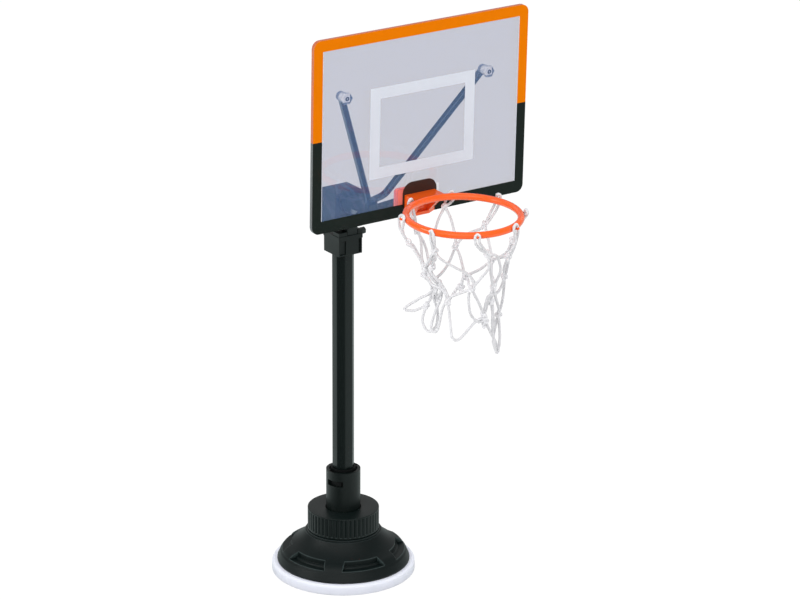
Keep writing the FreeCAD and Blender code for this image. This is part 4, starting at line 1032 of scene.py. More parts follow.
@dataclass
class SuctionBase(SubAssembly):
    """The translucent pad, the pocketed dome and the knurled lock ring."""

    body: str = "base"
    pad_radius: float = 47.48
    pad_top: float = 6.6
    dome_radius: float = 43.9
    dome_wall: float = 33.9
    dome_top: float = 28.7
    dome_bore: float = 11.6
    shoulder_foot: tuple[float, float] = (41.0, 13.3)
    shoulder_radius: float = 8.2
    sweep_end: tuple[float, float] = (25.2, 27.4)
    sweep_radius: float = 26.0
    pockets: int = 6
    pocket_centre: float = math.radians(16.8)
    pocket_back: float = 34.4
    pocket_floor: float = 13.7
    pocket_half: float = 19.5
    pocket_flare: float = 2.5
    pocket_length: float = 6.8
    ledge_width: float = 1.1
    ledge_height: float = 1.2
    ridges: int = 48
    ridge_steps: int = 12
    ridge_depth: float = 1.0
    ring_radius: float = 23.6
    ring_bore: float = 11.7
    ring_well: float = 16.6
    ring_base: float = 28.85
    ring_top: float = 43.6

    def pad(self) -> None:
        """The pad: a flat disc with a bevelled, rounded rim, revolved from its outline."""
        outline = filleted([(0, self.pad_top), (self.pad_radius - 1.38, self.pad_top),
                            (self.pad_radius - 0.18, 5.5), (self.pad_radius, 0.0), (44.0, 0.0), (43.0, 0.35),
                            (0, 0.35)], [0, 1.2, 1.0, 0.5, 0.4, 0.4, 0], 6)
        self.dress(MAKE.grid("suction_pad_vinyl", revolved(outline, 160)), "vinyl", "suction_pad")

    def dome_profiles(self) -> tuple[np.ndarray, np.ndarray]:
        """The dome's outline and the outline through a pocket, with matching points.

        Returns:
            Two arrays of (radius, height) points of the same length.
        """
        lower = filleted([(self.dome_wall, 8.0), (self.dome_wall, 6.62), (self.dome_radius, 6.62),
                          (self.dome_radius - 0.05, 7.8), (41.9, 12.2), self.shoulder_foot],
                         [0, 0.2, 0.25, 0.8, 1.5, 0], 6)[:-1]
        shoulder = arc_points((0, 0), self.shoulder_radius, math.radians(26), math.radians(66), 18)
        shoulder += self.shoulder_foot - shoulder[0]
        chord = self.sweep_end - shoulder[-1]
        span = np.linalg.norm(chord)
        normal = np.array([chord[1], -chord[0]]) / span
        rise = self.sweep_radius - math.sqrt(self.sweep_radius ** 2 - (span / 2) ** 2)
        t = np.linspace(0, 1, 26)[:, None]
        sweep = shoulder[-1] + chord * t - normal * 4 * rise * t * (1 - t)
        whole = resampled(np.concatenate([lower[-1:], shoulder, sweep[1:]]), 170)
        low = int(np.argmax(whole[:, 1] > self.pocket_floor))
        cut = int(np.argmin(np.abs(whole[:, 0] - self.pocket_back)))
        front, back = self.pocket_back + self.ledge_width, self.pocket_back
        floor, ledge = self.pocket_floor, self.pocket_floor + self.ledge_height
        inner = filleted([whole[low] - [0.35, -0.1], whole[low] - [0.7, 0.0], (front + 0.7, floor),
                          (front + 0.7, floor + 0.5), (front, ledge), (back, ledge),
                          (back, whole[cut][1] - 0.75)], [0, 0.2, 0.15, 0.1, 0.1, 0.2, 0], 4)
        pocket = np.concatenate([whole[:low], resampled(inner, cut - low + 1), whole[cut + 1:]])
        top = filleted([(25.0, 27.45), (24.25, 27.5), (24.2, self.dome_top), (self.dome_bore, self.dome_top),
                        (self.dome_bore, 25.0)], [0, 0.2, 0.3, 0.3, 0], 4)
        return np.concatenate([lower[:-1], whole, top]), np.concatenate([lower[:-1], pocket, top])

    def dome(self) -> None:
        """The dome: at each angle t and step s along the outline, the place is the plain outline's or the
        pocket's, P(s) + w(t) (Q(s) - P(s)). The pockets' ends run along t = centre +- h(r), where h grows
        with the radius."""
        inside = np.array([(self.dome_bore, 15.8), (15.8, 15.8), (16.0, 24.5), (26.0, 22.5), (33.0, 16.0),
                           (self.dome_wall, 9.0)])
        plain, pocket = (np.concatenate([outline, inside]) for outline in self.dome_profiles())
        share = np.concatenate([np.linspace(-1, 1, 25) * 0.985, [1.0, 1.025], np.linspace(1.08, 2.92, 12),
                                [2.975, 3.0]])
        weight = np.concatenate([np.ones(25), [0.08], np.zeros(14), [0.08]])
        step = ROUND / self.pockets

        def spread(radius: np.ndarray) -> np.ndarray:
            """Each column's angle in each row: shares up to 1 span the pocket, and from 1 to 3 the land.

            Args:
                radius: the rows' radii.

            Returns:
                An array of (rows, columns) angles.
            """
            flare = self.pocket_flare * np.clip((radius - self.pocket_back) / self.pocket_length, 0, 1)
            half = np.radians(self.pocket_half + flare)[:, None]
            return np.where(share <= 1, share * half, half + (share - 1) / 2 * (step - 2 * half))

        turn = np.where(weight > 0, spread(pocket[:, 0]), spread(plain[:, 0]))
        centres = self.pocket_centre + np.arange(self.pockets)[:, None] * step
        turn = (turn[:, None] + centres).reshape(len(turn), -1)
        radius, height = (np.tile(plain[:, [axis]] * (1 - weight) + pocket[:, [axis]] * weight, self.pockets)
                          for axis in (0, 1))
        grid = np.stack([radius * np.cos(turn), radius * np.sin(turn), height], 2)
        self.dress(MAKE.edged(MAKE.grid("base_dome_shell", grid, wrap_rows=True)), "dome", "base_dome")

    def lock_ring(self) -> None:
        """The knurled ring: its side's radius is R - d (1 - sqrt(1 - x^2)) m(z), a train of half-round ribs
        where x runs from -1 to 1 across each, and m is 1 between the plain foot and the plain top edge."""
        count = self.ridges * self.ridge_steps
        across = np.abs(np.arange(count) % self.ridge_steps / (self.ridge_steps / 2) - 1)
        groove = self.ridge_depth * (1 - np.sqrt(1 - np.clip(across, 0, 0.995) ** 2))
        rim, low, top = self.ring_radius, self.ring_base, self.ring_top
        outline = filleted([(self.ring_well, low + 1.0), (17.0, low), (rim - 0.4, low), (rim, low + 0.5),
                            (rim, top), (self.ring_bore, top), (self.ring_bore, top - 2.5)],
                           [0, 0.2, 0.3, 0.2, 0.35, 0.3, 0], 6)
        rows = []
        for start, end in zip(outline, outline[1:]):
            steps = 60 if abs(end[1] - start[1]) > 5 else 2
            rows.append(start + (end - start) * np.linspace(0, 1, steps, endpoint=False)[:, None])
        path = np.concatenate([*rows, outline[-1:]])
        mask = smooth_step(path[:, 1], low + 1.35, low + 1.6) * (path[:, 0] > rim - 0.7)
        mask *= 1 - smooth_step(path[:, 1], top - 1.15, top - 0.7)
        radius = path[:, :1] - mask[:, None] * groove
        grid = np.concatenate([radius[..., None] * circle_points(count),
                               np.repeat(path[:, 1:, None], count, 1)], 2)
        bore = revolved(np.array([(self.ring_bore, top - 3), (self.ring_well, top - 3)]), count)
        piece = MAKE.grid("lock_ring_knurled", np.concatenate([grid, bore]), wrap_rows=True)
        self.dress(MAKE.edged(piece), "ring", "lock_ring", body="ring")

    def build(self) -> None:
        """Make every piece of the base."""
        self.pad()
        self.dome()
        self.lock_ring()


@dataclass
class Stem(SubAssembly):
    """The neck, the pull stud, the bush and the pole with its head socket, pin and knob."""

    body: str = "pole"
    pole_width: float = 13.5
    pole_corner: float = 0.9
    pole_foot: float = 45.6
    pole_top: float = 228.0
    knob_radius: float = 2.42
    knob_corner: float = 0.3
    knob_place: tuple[float, float, float] = (9.4, -5.2, 235.3)

    def pole(self) -> None:
        """The octagonal pole: an octagon with rounded corners, carried up with a slight moulding taper."""
        corners = circle_points(8, self.pole_width / 2 / math.cos(math.pi / 8), math.pi / 8)
        section = filleted(corners, [self.pole_corner] * 8, 4, closed=True)
        levels = (self.pole_foot, self.pole_foot + 0.3, 90, 130, 170, 210, self.pole_top - 0.3, self.pole_top)
        grid = stacked(section, levels, (0.985, 1.0, 1.0, 0.998, 0.996, 0.995, 0.995, 0.98))
        self.dress(MAKE.grid("pole_octagon", grid), "pole", "pole")

    def knob(self) -> None:
        """The six-sided knob on the pin's end: a rounded hexagon carried out along X."""
        plan = filleted(circle_points(6, self.knob_radius)[:, ::-1], [self.knob_corner] * 6, 3, closed=True)
        grid = stacked(plan, (0, 0.15, 3.2, 3.6, 3.78), (0.93, 1.0, 1.0, 0.93, 0.8))
        grid = grid[..., [2, 0, 1]] + self.knob_place
        self.dress(MAKE.grid("pivot_knob_six_sided", grid), "knob", "pivot_knob")

    def build(self) -> None:
        """Make every piece of the stem."""
        self.soften("neck_socket", "black", 0.35, "stem")
        self.keep("pull_stud", "steel")
        self.soften("pole_bush", "deep", 0.25)
        self.pole()
        self.soften("head_socket", "black", 0.3)
        self.keep("pivot_pin", "steel")
        self.knob()


LEAN = math.radians(1.55)
BOARD_BACK = -87.2
BOARD_HEIGHT = 333.35
BOSS_PLACE = (53.0, 20.85)
RIM_SCREW_PLACE = (9.0, -51.25)


def board_place(points: np.ndarray) -> np.ndarray:
    """From the board's own frame (across, back, up) to the row frame, in millimetres: a turn by the lean
    about X, then a shift to the board's middle.

    Args:
        points: an array whose last axis is (x, back, up).

    Returns:
        The same array in the row frame.
    """
    x, back, up = points[..., 0], points[..., 1], points[..., 2]
    return np.stack([x, BOARD_BACK + back * math.cos(LEAN) - up * math.sin(LEAN),
                     BOARD_HEIGHT + back * math.sin(LEAN) + up * math.cos(LEAN)], -1)


def facing_board(grid: np.ndarray, x: float = 0.0, up: float = 0.0) -> np.ndarray:
    """A grid whose third axis runs back from the board's front, shifted on it and put in the row frame."""
    return board_place((grid + [x, up, 0])[..., [0, 2, 1]])


@dataclass
class Bracket(SubAssembly):
    """The tilting head, its hub, the two brace arms and the rim's rail."""

    arm_wide: float = 3.8
    arm_deep: float = 3.5
    arm_corner: float = 0.5
    arm_bend: float = 13.0
    arm_root: tuple[float, float, float] = (2.5, 56.0, -71.05)
    arm_knee: tuple[float, float, float] = (6.4, 47.7, -65.35)
    arm_tip: tuple[float, float, float] = (53.0, 9.9, 20.85)
    rail_root: tuple[float, float, float] = (0, 52.1, -76.35)
    rail_end: tuple[float, float, float] = (0, 6.0, -53.65)

    def arm(self, side: int, name: str) -> None:
        """One arm: a rounded rectangle carried along two straight runs joined by an arc, and an eyelet at its
        end.

        Args:
            side: 1 for the +X arm and -1 for the other.
            name: the CAD node's name.
        """
        root, knee, tip = (np.array(place) for place in (self.arm_root, self.arm_knee, self.arm_tip))
        into, out = unit(knee - root), unit(tip - knee)
        turn = math.acos(float(into @ out))
        setback = self.arm_bend * math.tan(turn / 2)
        centre = knee + unit(out - into) * self.arm_bend / math.cos(turn / 2)
        t = np.linspace(0, 1, 14)[:, None]
        spokes = (knee - into * setback) * (1 - t) + (knee + out * setback) * t - centre
        bend = centre + unit(spokes) * self.arm_bend
        run = bend[-1] + (tip - bend[-1]) * np.linspace(0, 1, 12)[1:, None]
        flat = board_place(np.cross(out, into)) - board_place(np.zeros(3))
        section = rounded_rectangle(self.arm_wide / 2, self.arm_deep / 2, self.arm_corner, 4)
        section = resampled(np.concatenate([section, section[:1]]), 61)[:-1]
        bar = swept(board_place(np.concatenate([root[None], bend, run])), section, unit(flat))
        ring = filleted([(0, 8.35), (3.0, 8.35), (3.0, 11.5), (0, 11.5)], [0, 0.2, 0.7, 0], 5)
        mirror = (side, 1, 1)
        piece = MAKE.edged(MAKE.grid(name + "_bar", bar * mirror), 0.05, 0.1)
        self.dress(piece, "arm", name)
        eye = facing_board(revolved(ring, 40), *BOSS_PLACE) * mirror
        self.dress(MAKE.grid(name + "_eyelet", eye), "eyelet")

    def rail(self) -> None:
        """The rail: a rounded bar from the hub's nose to the foot plate, and the foot plate itself."""
        root, end = np.array(self.rail_root), np.array(self.rail_end)
        path = board_place(root + (end - root) * np.linspace(0, 1, 10)[:, None])
        bar = swept(path, rounded_rectangle(3.0, 3.3, 0.7, 4), np.array([1.0, 0, 0]))
        foot = facing_board(slab(12.0, 5.3, 1.2, 5.2, 7.2, 0.4), 0, RIM_SCREW_PLACE[1])
        self.dress(MAKE.grid("rim_rail_moulded", bar, foot), "black", "rim_rail")

    def build(self) -> None:
        """Make every piece of the bracket."""
        self.soften("tilt_head", "black", 0.45)
        self.soften("brace_hub", "black", 0.4)
        self.soften("hub_screw", "steel", 0.15)
        self.arm(1, "right_arm")
        self.arm(-1, "left_arm")
        self.rail()


@dataclass
class Board(SubAssembly):
    """The clear board with its bosses, prints, back plate and screws."""

    half_wide: float = 79.5
    half_high: float = 61.65
    corner: float = 5.0
    thick: float = 2.8
    edge: float = 0.3
    foot_radius: float = 3.9
    tube_radius: float = 3.25
    tube_bore: float = 1.25
    tube_end: float = 8.28
    line_side: float = 72.76
    head_height: float = 1.45
    slot_half: float = 0.3
    slot_reach: float = 0.55
    slot_level: float = 0.9
    slot_depth: float = 0.7

    def sheet(self) -> None:
        """The clear sheet with rounded edges."""
        grid = slab(self.half_wide, self.half_high, self.corner, 0.0, self.thick, self.edge)
        self.dress(MAKE.grid("backboard_sheet", facing_board(grid)), "clear", "backboard")

    def bosses(self) -> None:
        """The two clear bosses: a six-sided foot with rounded corners, and a hollow tube behind it."""
        plan = filleted(circle_points(6, self.foot_radius), [0.4] * 6, 4, closed=True)
        foot = stacked(plan, (2.82, 2.9, 4.7, 5.0), (0.99, 1.0, 1.0, 0.96))
        outer, bore, end = self.tube_radius, self.tube_bore, self.tube_end
        wall = filleted([(0, 4.6), (outer, 4.6), (outer, end), (bore, end), (bore, 4.8), (0, 4.8)],
                        [0, 0, 0.35, 0.2, 0, 0], 4)
        tube = revolved(wall, 40)
        x, up = BOSS_PLACE
        for side, label in ((-1, "left"), (1, "right")):
            parts = [facing_board(grid, side * x, up) for grid in (foot, tube)]
            self.dress(MAKE.grid("board_boss_" + label, *parts), "boss")

    def prints(self) -> None:
        """The printed layers keep their CAD shapes, and a thin pale line is added on each side where ink
        meets clear plastic."""
        for node, finish in (("border_upper", "orange_ink"), ("border_lower", "black_ink"),
                             ("shooting_square", "white_ink"), ("rim_arch", "arch_ink")):
            self.keep(node, finish)
        line = slab(0.22, 57.2, 0.05, -0.12, -0.01, 0.02)
        lines = [facing_board(line, side * self.line_side, 0.3) for side in (-1, 1)]
        self.dress(MAKE.grid("print_keylines", *lines), "white_ink")

    def plate(self) -> None:
        """The orange plate that clamps the rim's block, with rounded corners and edges."""
        grid = facing_board(slab(15.2, 7.8, 2.0, 2.82, 5.18, 0.45), -0.8, -52.05)
        self.dress(MAKE.grid("rim_plate_moulded", grid), "plate", "rim_plate")

    def screws(self, node: str, place: tuple[float, float], tip: float, seat: float, shank: float,
               head: float) -> None:
        """A pair of pan-head screws, revolved, with a cross cut into the head where |x| or |y| is small.

        Args:
            node: the CAD node that they stand for.
            place: their places across the board, left and right, and up it.
            tip: depth of the tip behind the board's front.
            seat: depth of the head's underside.
            shank: the shank's radius.
            head: the head's radius.
        """
        top = seat + self.head_height
        outline = filleted([(0, tip), (shank * 0.6, tip), (shank, tip + shank), (shank, seat), (head, seat),
                            (head, seat + 0.6), (head * 0.6, top), (0, top)],
                           [0, 0, 0, 0, 0.1, 0.3, 1.2, 0], 5)[:-1]
        crown = np.column_stack([np.linspace(outline[-1][0], 0, 9)[1:], np.full(8, top)])
        grid = revolved(np.concatenate([outline, crown]), 64)
        x, y, z = (grid[..., axis] for axis in range(3))
        cross = np.minimum(abs(x), abs(y)) < self.slot_half
        cross &= (np.hypot(x, y) < head * self.slot_reach) & (z > seat + self.slot_level)
        z -= cross * self.slot_depth
        pair = [facing_board(grid, side * place[0], place[1]) for side in (-1, 1)]
        self.dress(MAKE.grid(node + "_cross", *pair), "steel", node)

    def build(self) -> None:
        """Make every piece of the board."""
        self.sheet()
        self.bosses()
        self.prints()
        self.plate()
        self.screws("rim_screws", RIM_SCREW_PLACE, -3.6, 7.2, 1.2, 2.35)
        self.screws("boss_screws", BOSS_PLACE, 5.1, 11.5, 1.15, 2.15)


@dataclass
class Rim(SubAssembly):
    """The orange ring, its block and its hooks."""

    radius: float = 35.26
    tube: float = 2.2
    reach: float = 47.2
    drop: float = 48.85
    hook_count: int = 8
    hook_start: float = 22.5
    hook_radius: float = 0.66
    hook_reach: float = 1.9
    block_top: float = -47.65
    block_low: float = -61.5
    lip: float = 2.1
    block_half: float = 11.3

    def ring(self) -> None:
        """The ring: (R + r cos b) round the middle and r sin b up, a torus."""
        way = circle_points(160)[:, None]
        section = circle_points(28, self.tube)
        across = (self.radius + section[:, :1]) * way
        grid = np.concatenate([across, np.repeat(section[None, :, 1:], 160, 0)], 2)
        piece = MAKE.grid("rim_ring", board_place(grid - [0, self.reach, self.drop]), wrap_rows=True)
        self.dress(piece, "orange", "rim")

    def hooks(self) -> None:
        """The hooks: a circle carried out from the ring and up round a bend, closed by a round tip where its
        size is sqrt(1 - q^2)."""
        elbow = self.radius + self.tube + self.hook_reach
        reaches = np.array([self.radius + 1, elbow - 1.0, elbow - 0.25, elbow, elbow])
        drops = (0.3, 0.3, 0.0, -0.6, -1.0)
        found = []
        for x, y in circle_points(self.hook_count, 1.0, math.radians(self.hook_start)):
            corners = np.column_stack([reaches * x, reaches * y, -np.array(drops)])
            path = resampled(threaded(corners - [0, self.reach, self.drop]), 40)
            left = length_of(path) * (1 - np.linspace(0, 1, 40)) / self.hook_radius
            size = np.sqrt(np.clip(1 - np.clip(1 - left, 0, 1) ** 2, 1e-4, 1))
            section = circle_points(16, self.hook_radius)
            found.append(board_place(swept(path, section, np.array([-y, x, 0]), size)))
        self.dress(MAKE.grid("rim_hooks", *found), "orange")

    def block(self) -> None:
        """The mounting block: plan outlines stacked in height. Each is a hexagon that widens upwards, and
        between floor and roof its front steps back into the recess."""
        lip, roof, half = self.block_low + self.lip, self.block_top - 2.2, self.block_half
        rows = []
        for height, recessed in ((self.block_low, False), (lip, False), (lip, True), (roof, True),
                                 (roof, False), (self.block_top, False)):
            share = max(0.0, (height - lip) / (self.block_top - lip))
            side, prow, depth = 0.4 + 11.8 * share, 5.1 + 3.4 * share, 3.8 + 9.3 * share
            recess = 4.5 + 2.6 * min(1.0, max(0.0, (height - lip) / (roof - lip)))
            back = 1.4 if recessed else depth
            plan = [(-half, 0.22), (half, 0.22), (half, side), (prow, depth), (recess, depth), (recess, back),
                    (-recess, back), (-recess, depth), (-prow, depth), (-half, side)]
            rows.append([(x, -y, height) for x, y in plan])
        count, last = len(rows[0]), (len(rows) - 1) * len(rows[0])
        here = np.arange(count)
        after = (here + 1) % count
        side_faces = np.stack([here, after, after + count, here + count], 1)
        faces = [face for start in range(0, last, count) for face in (side_faces + start).tolist()]
        faces += [here[::-1].tolist(), (here + last).tolist()]
        mesh = bpy.data.meshes.new("rim_block")
        mesh.from_pydata((board_place(np.array(rows)).reshape(-1, 3) * MM).tolist(), [], faces)
        self.dress(MAKE.rounded(MAKE.finished("rim_block", mesh), 0.45, segments=3, angle=25), "orange")

    def build(self) -> None:
        """Make the ring, its hooks and the block."""
        self.ring()
        self.hooks()
        self.block()


# The net's knots, in millimetres across, back and up from the ring's middle
KNOTS: dict[str, tuple[float, float, float]] = {
    "k00": (28, 16, -16), "k01": (11, 35, -7), "k02": (-14.5, 28.5, -16), "k03": (-34.5, 8.5, -13.5),
    "k04": (-31.5, -15, -11.5), "k05": (-5.5, -33.5, -13), "k06": (13.5, -28.5, -20.5),
    "k07": (30.5, -9.5, -19), "k10": (10, 21.5, -28.5), "k11": (-6.5, 22.5, -34), "k12": (-24.5, 5.5, -35.5),
    "k13": (-28.5, -1, -28), "k13b": (-27, -6.5, -26), "k14": (-12, -27, -36.5), "k15": (6.5, -24.5, -39.5),
    "k16": (18, -19.5, -37), "k17": (22.5, 0, -34), "k20": (-7, -13.5, -33.5), "k20b": (-8.5, -11, -41.5),
    "k21": (-19.5, -3.5, -39), "k22": (-16.5, 2, -51), "k23": (-19.5, 9.5, -58), "k24": (-19, -12.5, -48.5),
    "k26": (2, -21, -58), "k26b": (3, -22, -61.5), "k27": (17.5, -15.5, -63), "k15b": (6.5, -22, -50),
}
# Its cords: the places that each one runs through, from knot to knot
CORDS: tuple[tuple, ...] = (
    ("k03", (-38, 12, -6), (-32, 22.5, -5.5), (-32, 22.5, -2), (-33.5, 18, 1), (-37, 10.5, 2.5),
     (-37, 11.5, -5.5), (-36.5, 10.5, -9.5), "k03"),
    ("k04", (-34.5, -16, -7.5), (-35.5, -15, 0.5), (-34.5, -15.5, 1.5), (-34.5, -18, -2), "k04"),
    ("k05", (-12, -34.5, -8.5), (-16, -35, -3.5), (-16, -35, 0.5), (-14.5, -35, 1.5), (-13.5, -36, 0),
     (-13.5, -36, -3.5), "k05"),
    ("k06", (13, -33.5, -13.5), (13.5, -36, -6.5), (11, -37, 1), (14.5, -35, 2.5), (15.5, -35.5, -3),
     (14.5, -32, -15.5), "k06"),
    ("k07", (31, -11, -16.5), (33.5, -12, -10), (36.5, -13.5, -4), (31, -23.5, 2.5), (31, -23.5, 4.5),
     (33.5, -18, 3), (36.5, -10.5, -7.5), "k07"),
    ("k00", (35, 18, -7.5), (36, 15, -1), (35.5, 14.5, 2.5), (35.5, 12.5, 3.5), (36.5, 12, 2.5),
     (36.5, 13, -2.5), (36, 16.5, -9.5), (30.5, 16, -15), "k00"),
    ("k01", (13, 38, -6), (13.5, 36.5, -1.5), (15.5, 34.5, 2.5), (17.5, 34.5, -2), (16.5, 37, -6), "k01"),
    ("k02", (-14, 33, -12.5), (-14.5, 36, -5.5), (-17, 34.5, 0.5), (-15.5, 34.5, 3), (-13, 36.5, 1),
     (-12, 37, -4), (-12, 34.5, -9), "k02"),
    ("k03", (-32, 2.5, -20), "k13"),
    ("k03", (-30.5, 8, -17), (-26.5, 5.5, -27.5), (-25, 6, -32.5), "k12"),
    ("k02", (-14.5, 24, -20.5), (-21.5, 12.5, -27.5), "k13"),
    ("k02", (-13, 23.5, -21.5), (-14, 18.5, -25.5), (-18.5, 10, -28), (-24, 1, -27.5), "k13b"),
    ("k04", (-32, -12.5, -15.5), "k13"),
    ("k04", "k13b"),
    ("k04", (-30, -18, -16), (-22, -22.5, -22), (-14, -25, -27), (-10.5, -28, -33), "k14"),
    ("k01", (5.5, 34, -14), (-1.5, 28.5, -22.5), "k11"),
    ("k01", (13, 31, -14.5), (12, 24.5, -24.5), "k10"),
    ("k00", (27, 17, -18.5), (18, 21.5, -22.5), "k10"),
    ("k00", (27, 13.5, -18), (23.5, 2, -30), "k17"),
    ("k07", (28.5, -6.5, -27.5), "k17"),
    ("k06", (15, -23.5, -22), (21, -5.5, -30.5), "k17"),
    ("k05", (2, -32.5, -16), (6, -30, -21.5), (8, -29, -27.5), (8.5, -26.5, -32.5), "k15"),
    ("k05", (-4.5, -33.5, -16.5), (4.5, -25.5, -36), "k15"),
    ("k17", (14, -11.5, -37), (10, -20, -38), "k15"),
    ("k05", (-5, -34.5, -19.5), (-5.5, -33.5, -24), "k14"),
    ("k17", (16.5, -3, -34), (9.5, -5, -35.5), "k20"),
    ("k06", (15.5, -22.5, -30), "k16"),
    ("k06", (17, -24.5, -25), (19, -20, -34), "k16"),
    ("k07", (30.5, -10, -23), (21, -16.5, -34.5), "k16"),
    ("k16", (17, -19, -42), (13.5, -21, -44.5), (8, -24, -45), (3, -23.5, -46), "k26"),
    ("k16", (20, -17, -42.5), (20.5, -15, -54.5), "k27"),
    ("k15", (4, -23, -48), (3.5, -21, -56), "k26"),
    ("k15", (8.5, -23.5, -46), (16.5, -17, -59), "k27"),
    ("k15", "k15b"),
    ("k15b", (8.5, -21.5, -54.5), (10.5, -19, -68.5), (15.5, -16.5, -86.5), (17.5, -16.5, -86.5),
     (16, -15.5, -81.5), (6, -20.5, -67.5), "k26b"),
    ("k15b", (11, -19, -63), (12.5, -18, -70), (15.5, -15, -70.5), (17, -14.5, -66.5), "k27"),
    ("k27", (19, -15.5, -79), (18, -15, -88.5), (16.5, -14, -85.5), (15, -14, -79.5), (17, -14, -68.5),
     "k27"),
    ("k14", (-4.5, -24.5, -48), "k26"),
    ("k14", (-12.5, -25, -40.5), (-9, -22, -54), (-2.5, -21, -62), "k26b"),
    ("k26b", (0.5, -21, -60.5), (-4.5, -21, -62), (-17, -22.5, -70), (-21, -20.5, -68.5), (-20.5, -18.5, -64),
     "k24"),
    ("k26", (2.5, -21.5, -66), (2.5, -20.5, -66.5), (2.5, -19.5, -62.5), "k26"),
    ("k24", (-17.5, -13, -45.5), "k14"),
    ("k24", (-9.5, -10, -41), "k20b"),
    ("k20b", (-9, -13, -38), (-9, -13, -35.5), "k20"),
    ("k20", (-7, -18, -31.5), (-10.5, -27, -34.5), "k14"),
    ("k20", (-8, -17.5, -34.5), (-11, -22.5, -35.5), "k14"),
    ("k10", (10, 17, -32.5), (7, 10, -35.5), (1.5, 0.5, -36), (-5.5, -9.5, -33.5), "k20"),
    ("k10", (7, 21, -34.5), (2.5, 19, -39), (-6, 13.5, -41), (-15.5, 5, -39.5), "k21"),
    ("k11", (-10.5, 19, -36), (-15, 10.5, -38.5), "k21"),
    ("k12", (-24, 2, -37), (-23, -1.5, -40), (-20, -8.5, -42), "k24"),
    ("k13b", (-27, -5.5, -30), (-21.5, -9.5, -38), (-18.5, -12.5, -46), "k24"),
    ("k13", (-25, -4.5, -35.5), "k21"),
    ("k12", (-20, 4, -43), (-17.5, 8, -53), "k23"),
    ("k21", (-19, -6, -41), (-18.5, -4, -49.5), (-21, -1.5, -59.5), (-24, -2.5, -68.5), (-22.5, -7, -68),
     (-20.5, -9.5, -52.5), "k24"),
    ("k21", (-20, 1.5, -49), (-17, 1, -59), (-18.5, 0, -68.5), (-22, 3.5, -72.5), (-22.5, 9, -67), "k23"),
    ("k21", (-21, -2.5, -45), "k22"),
    ("k22", (-20, -5, -45.5), (-20.5, -7, -42), "k21"),
    ("k23", (-22, 19, -64), (-25, 25, -64), (-20, 15.5, -55), (-19, 8, -50), "k21"),
)


@dataclass
class Net(SubAssembly):
    """The knotted net: loops over the hooks, cords between knots, and loose loops at the bottom."""

    rim: Optional[Rim] = None
    cord: float = 0.9
    lobe: float = 0.07
    ply_turn: float = 5.0
    step: float = 0.5
    map_pitch: float = 0.05
    knot_size: tuple[float, float, float] = (0.58, 0.58, 0.8)
    knot_rise: float = 1.12
    turn: np.random.Generator = field(default_factory=lambda: np.random.default_rng(11))

    def on_rim(self, points: np.ndarray) -> np.ndarray:
        """From the ring's middle to the row frame."""
        return board_place(points - [0, self.rim.reach, self.rim.drop])

    def strand(self, stops: Sequence[Union[str, tuple]]) -> np.ndarray:
        """A cord of two twisted plies through its places: its radius is r (1 + lobe cos 2b), and the section
        turns once in each ply_turn. It is steadied by the normal of the plane that fits the cord best.

        Args:
            stops: knot names and places.

        Returns:
            The cord's grid, in the row frame.
        """
        places = np.array([KNOTS[stop] if isinstance(stop, str) else stop for stop in stops], float)
        curve = threaded(places)
        length = length_of(curve)
        path = resampled(curve, int(max(16, length / self.step)))
        flat = np.cross(path[-1] - path[0], [1, 2, 0])
        if len(places) > 2:
            flat = np.linalg.svd(path - path.mean(0))[2][2]
        around = np.arange(12) / 12 * ROUND
        section = circle_points(12) * (self.cord * (1 + self.lobe * np.cos(2 * around)))[:, None]
        twist = np.linspace(0, length / self.ply_turn * ROUND, len(path))
        return self.on_rim(swept(path, section, unit(flat), twist=twist))

    def knots(self) -> list[np.ndarray]:
        """The knots: a trefoil, (sin t + 2 sin 2t, cos t - 2 cos 2t, -1.25 sin 3t), sized and turned, with
        the cord's section carried round it.

        Returns:
            A grid for each knot, in the row frame.
        """
        t = np.arange(72) / 72 * ROUND
        curve = np.stack([np.sin(t) + 2 * np.sin(2 * t), np.cos(t) - 2 * np.cos(2 * t),
                          -1.25 * np.sin(3 * t)], 1)
        tangent = unit(np.stack([np.cos(t) + 4 * np.cos(2 * t), -np.sin(t) + 4 * np.sin(2 * t),
                                 -3.75 * np.cos(3 * t)], 1))
        side = unit(np.cross(tangent, [0, 0, 1.0]))
        rise = np.cross(side, tangent)
        u, v = circle_points(10, self.cord * 0.98).T[..., None]
        ring = u * side[:, None] + v * rise[:, None]
        found = []
        for number, place in enumerate(KNOTS.values()):
            grid = curve[:, None] * (np.array(self.knot_size) * self.turn.uniform(0.9, 1.1)) + ring
            angles = ((number * 2.4, "Z"), (self.turn.uniform(1.0, 2.1), "X"),
                      (self.turn.uniform(0, 6.28), "Z"))
            first, second, third = (Matrix.Rotation(angle, 3, axis) for angle, axis in angles)
            grid = grid @ np.array(first @ second @ third).T
            grid[..., 2] *= self.knot_rise
            found.append(self.on_rim(grid + place))
        return found

    def build(self) -> None:
        """Make the cords and the knots."""
        cords = [self.strand(stops) for stops in CORDS]
        self.dress(MAKE.grid("net_cords", *cords, pitch=self.map_pitch), "cord", "net")
        self.dress(MAKE.grid("net_knots", *self.knots(), wrap_rows=True, pitch=self.map_pitch), "cord")


# Stage, light and camera

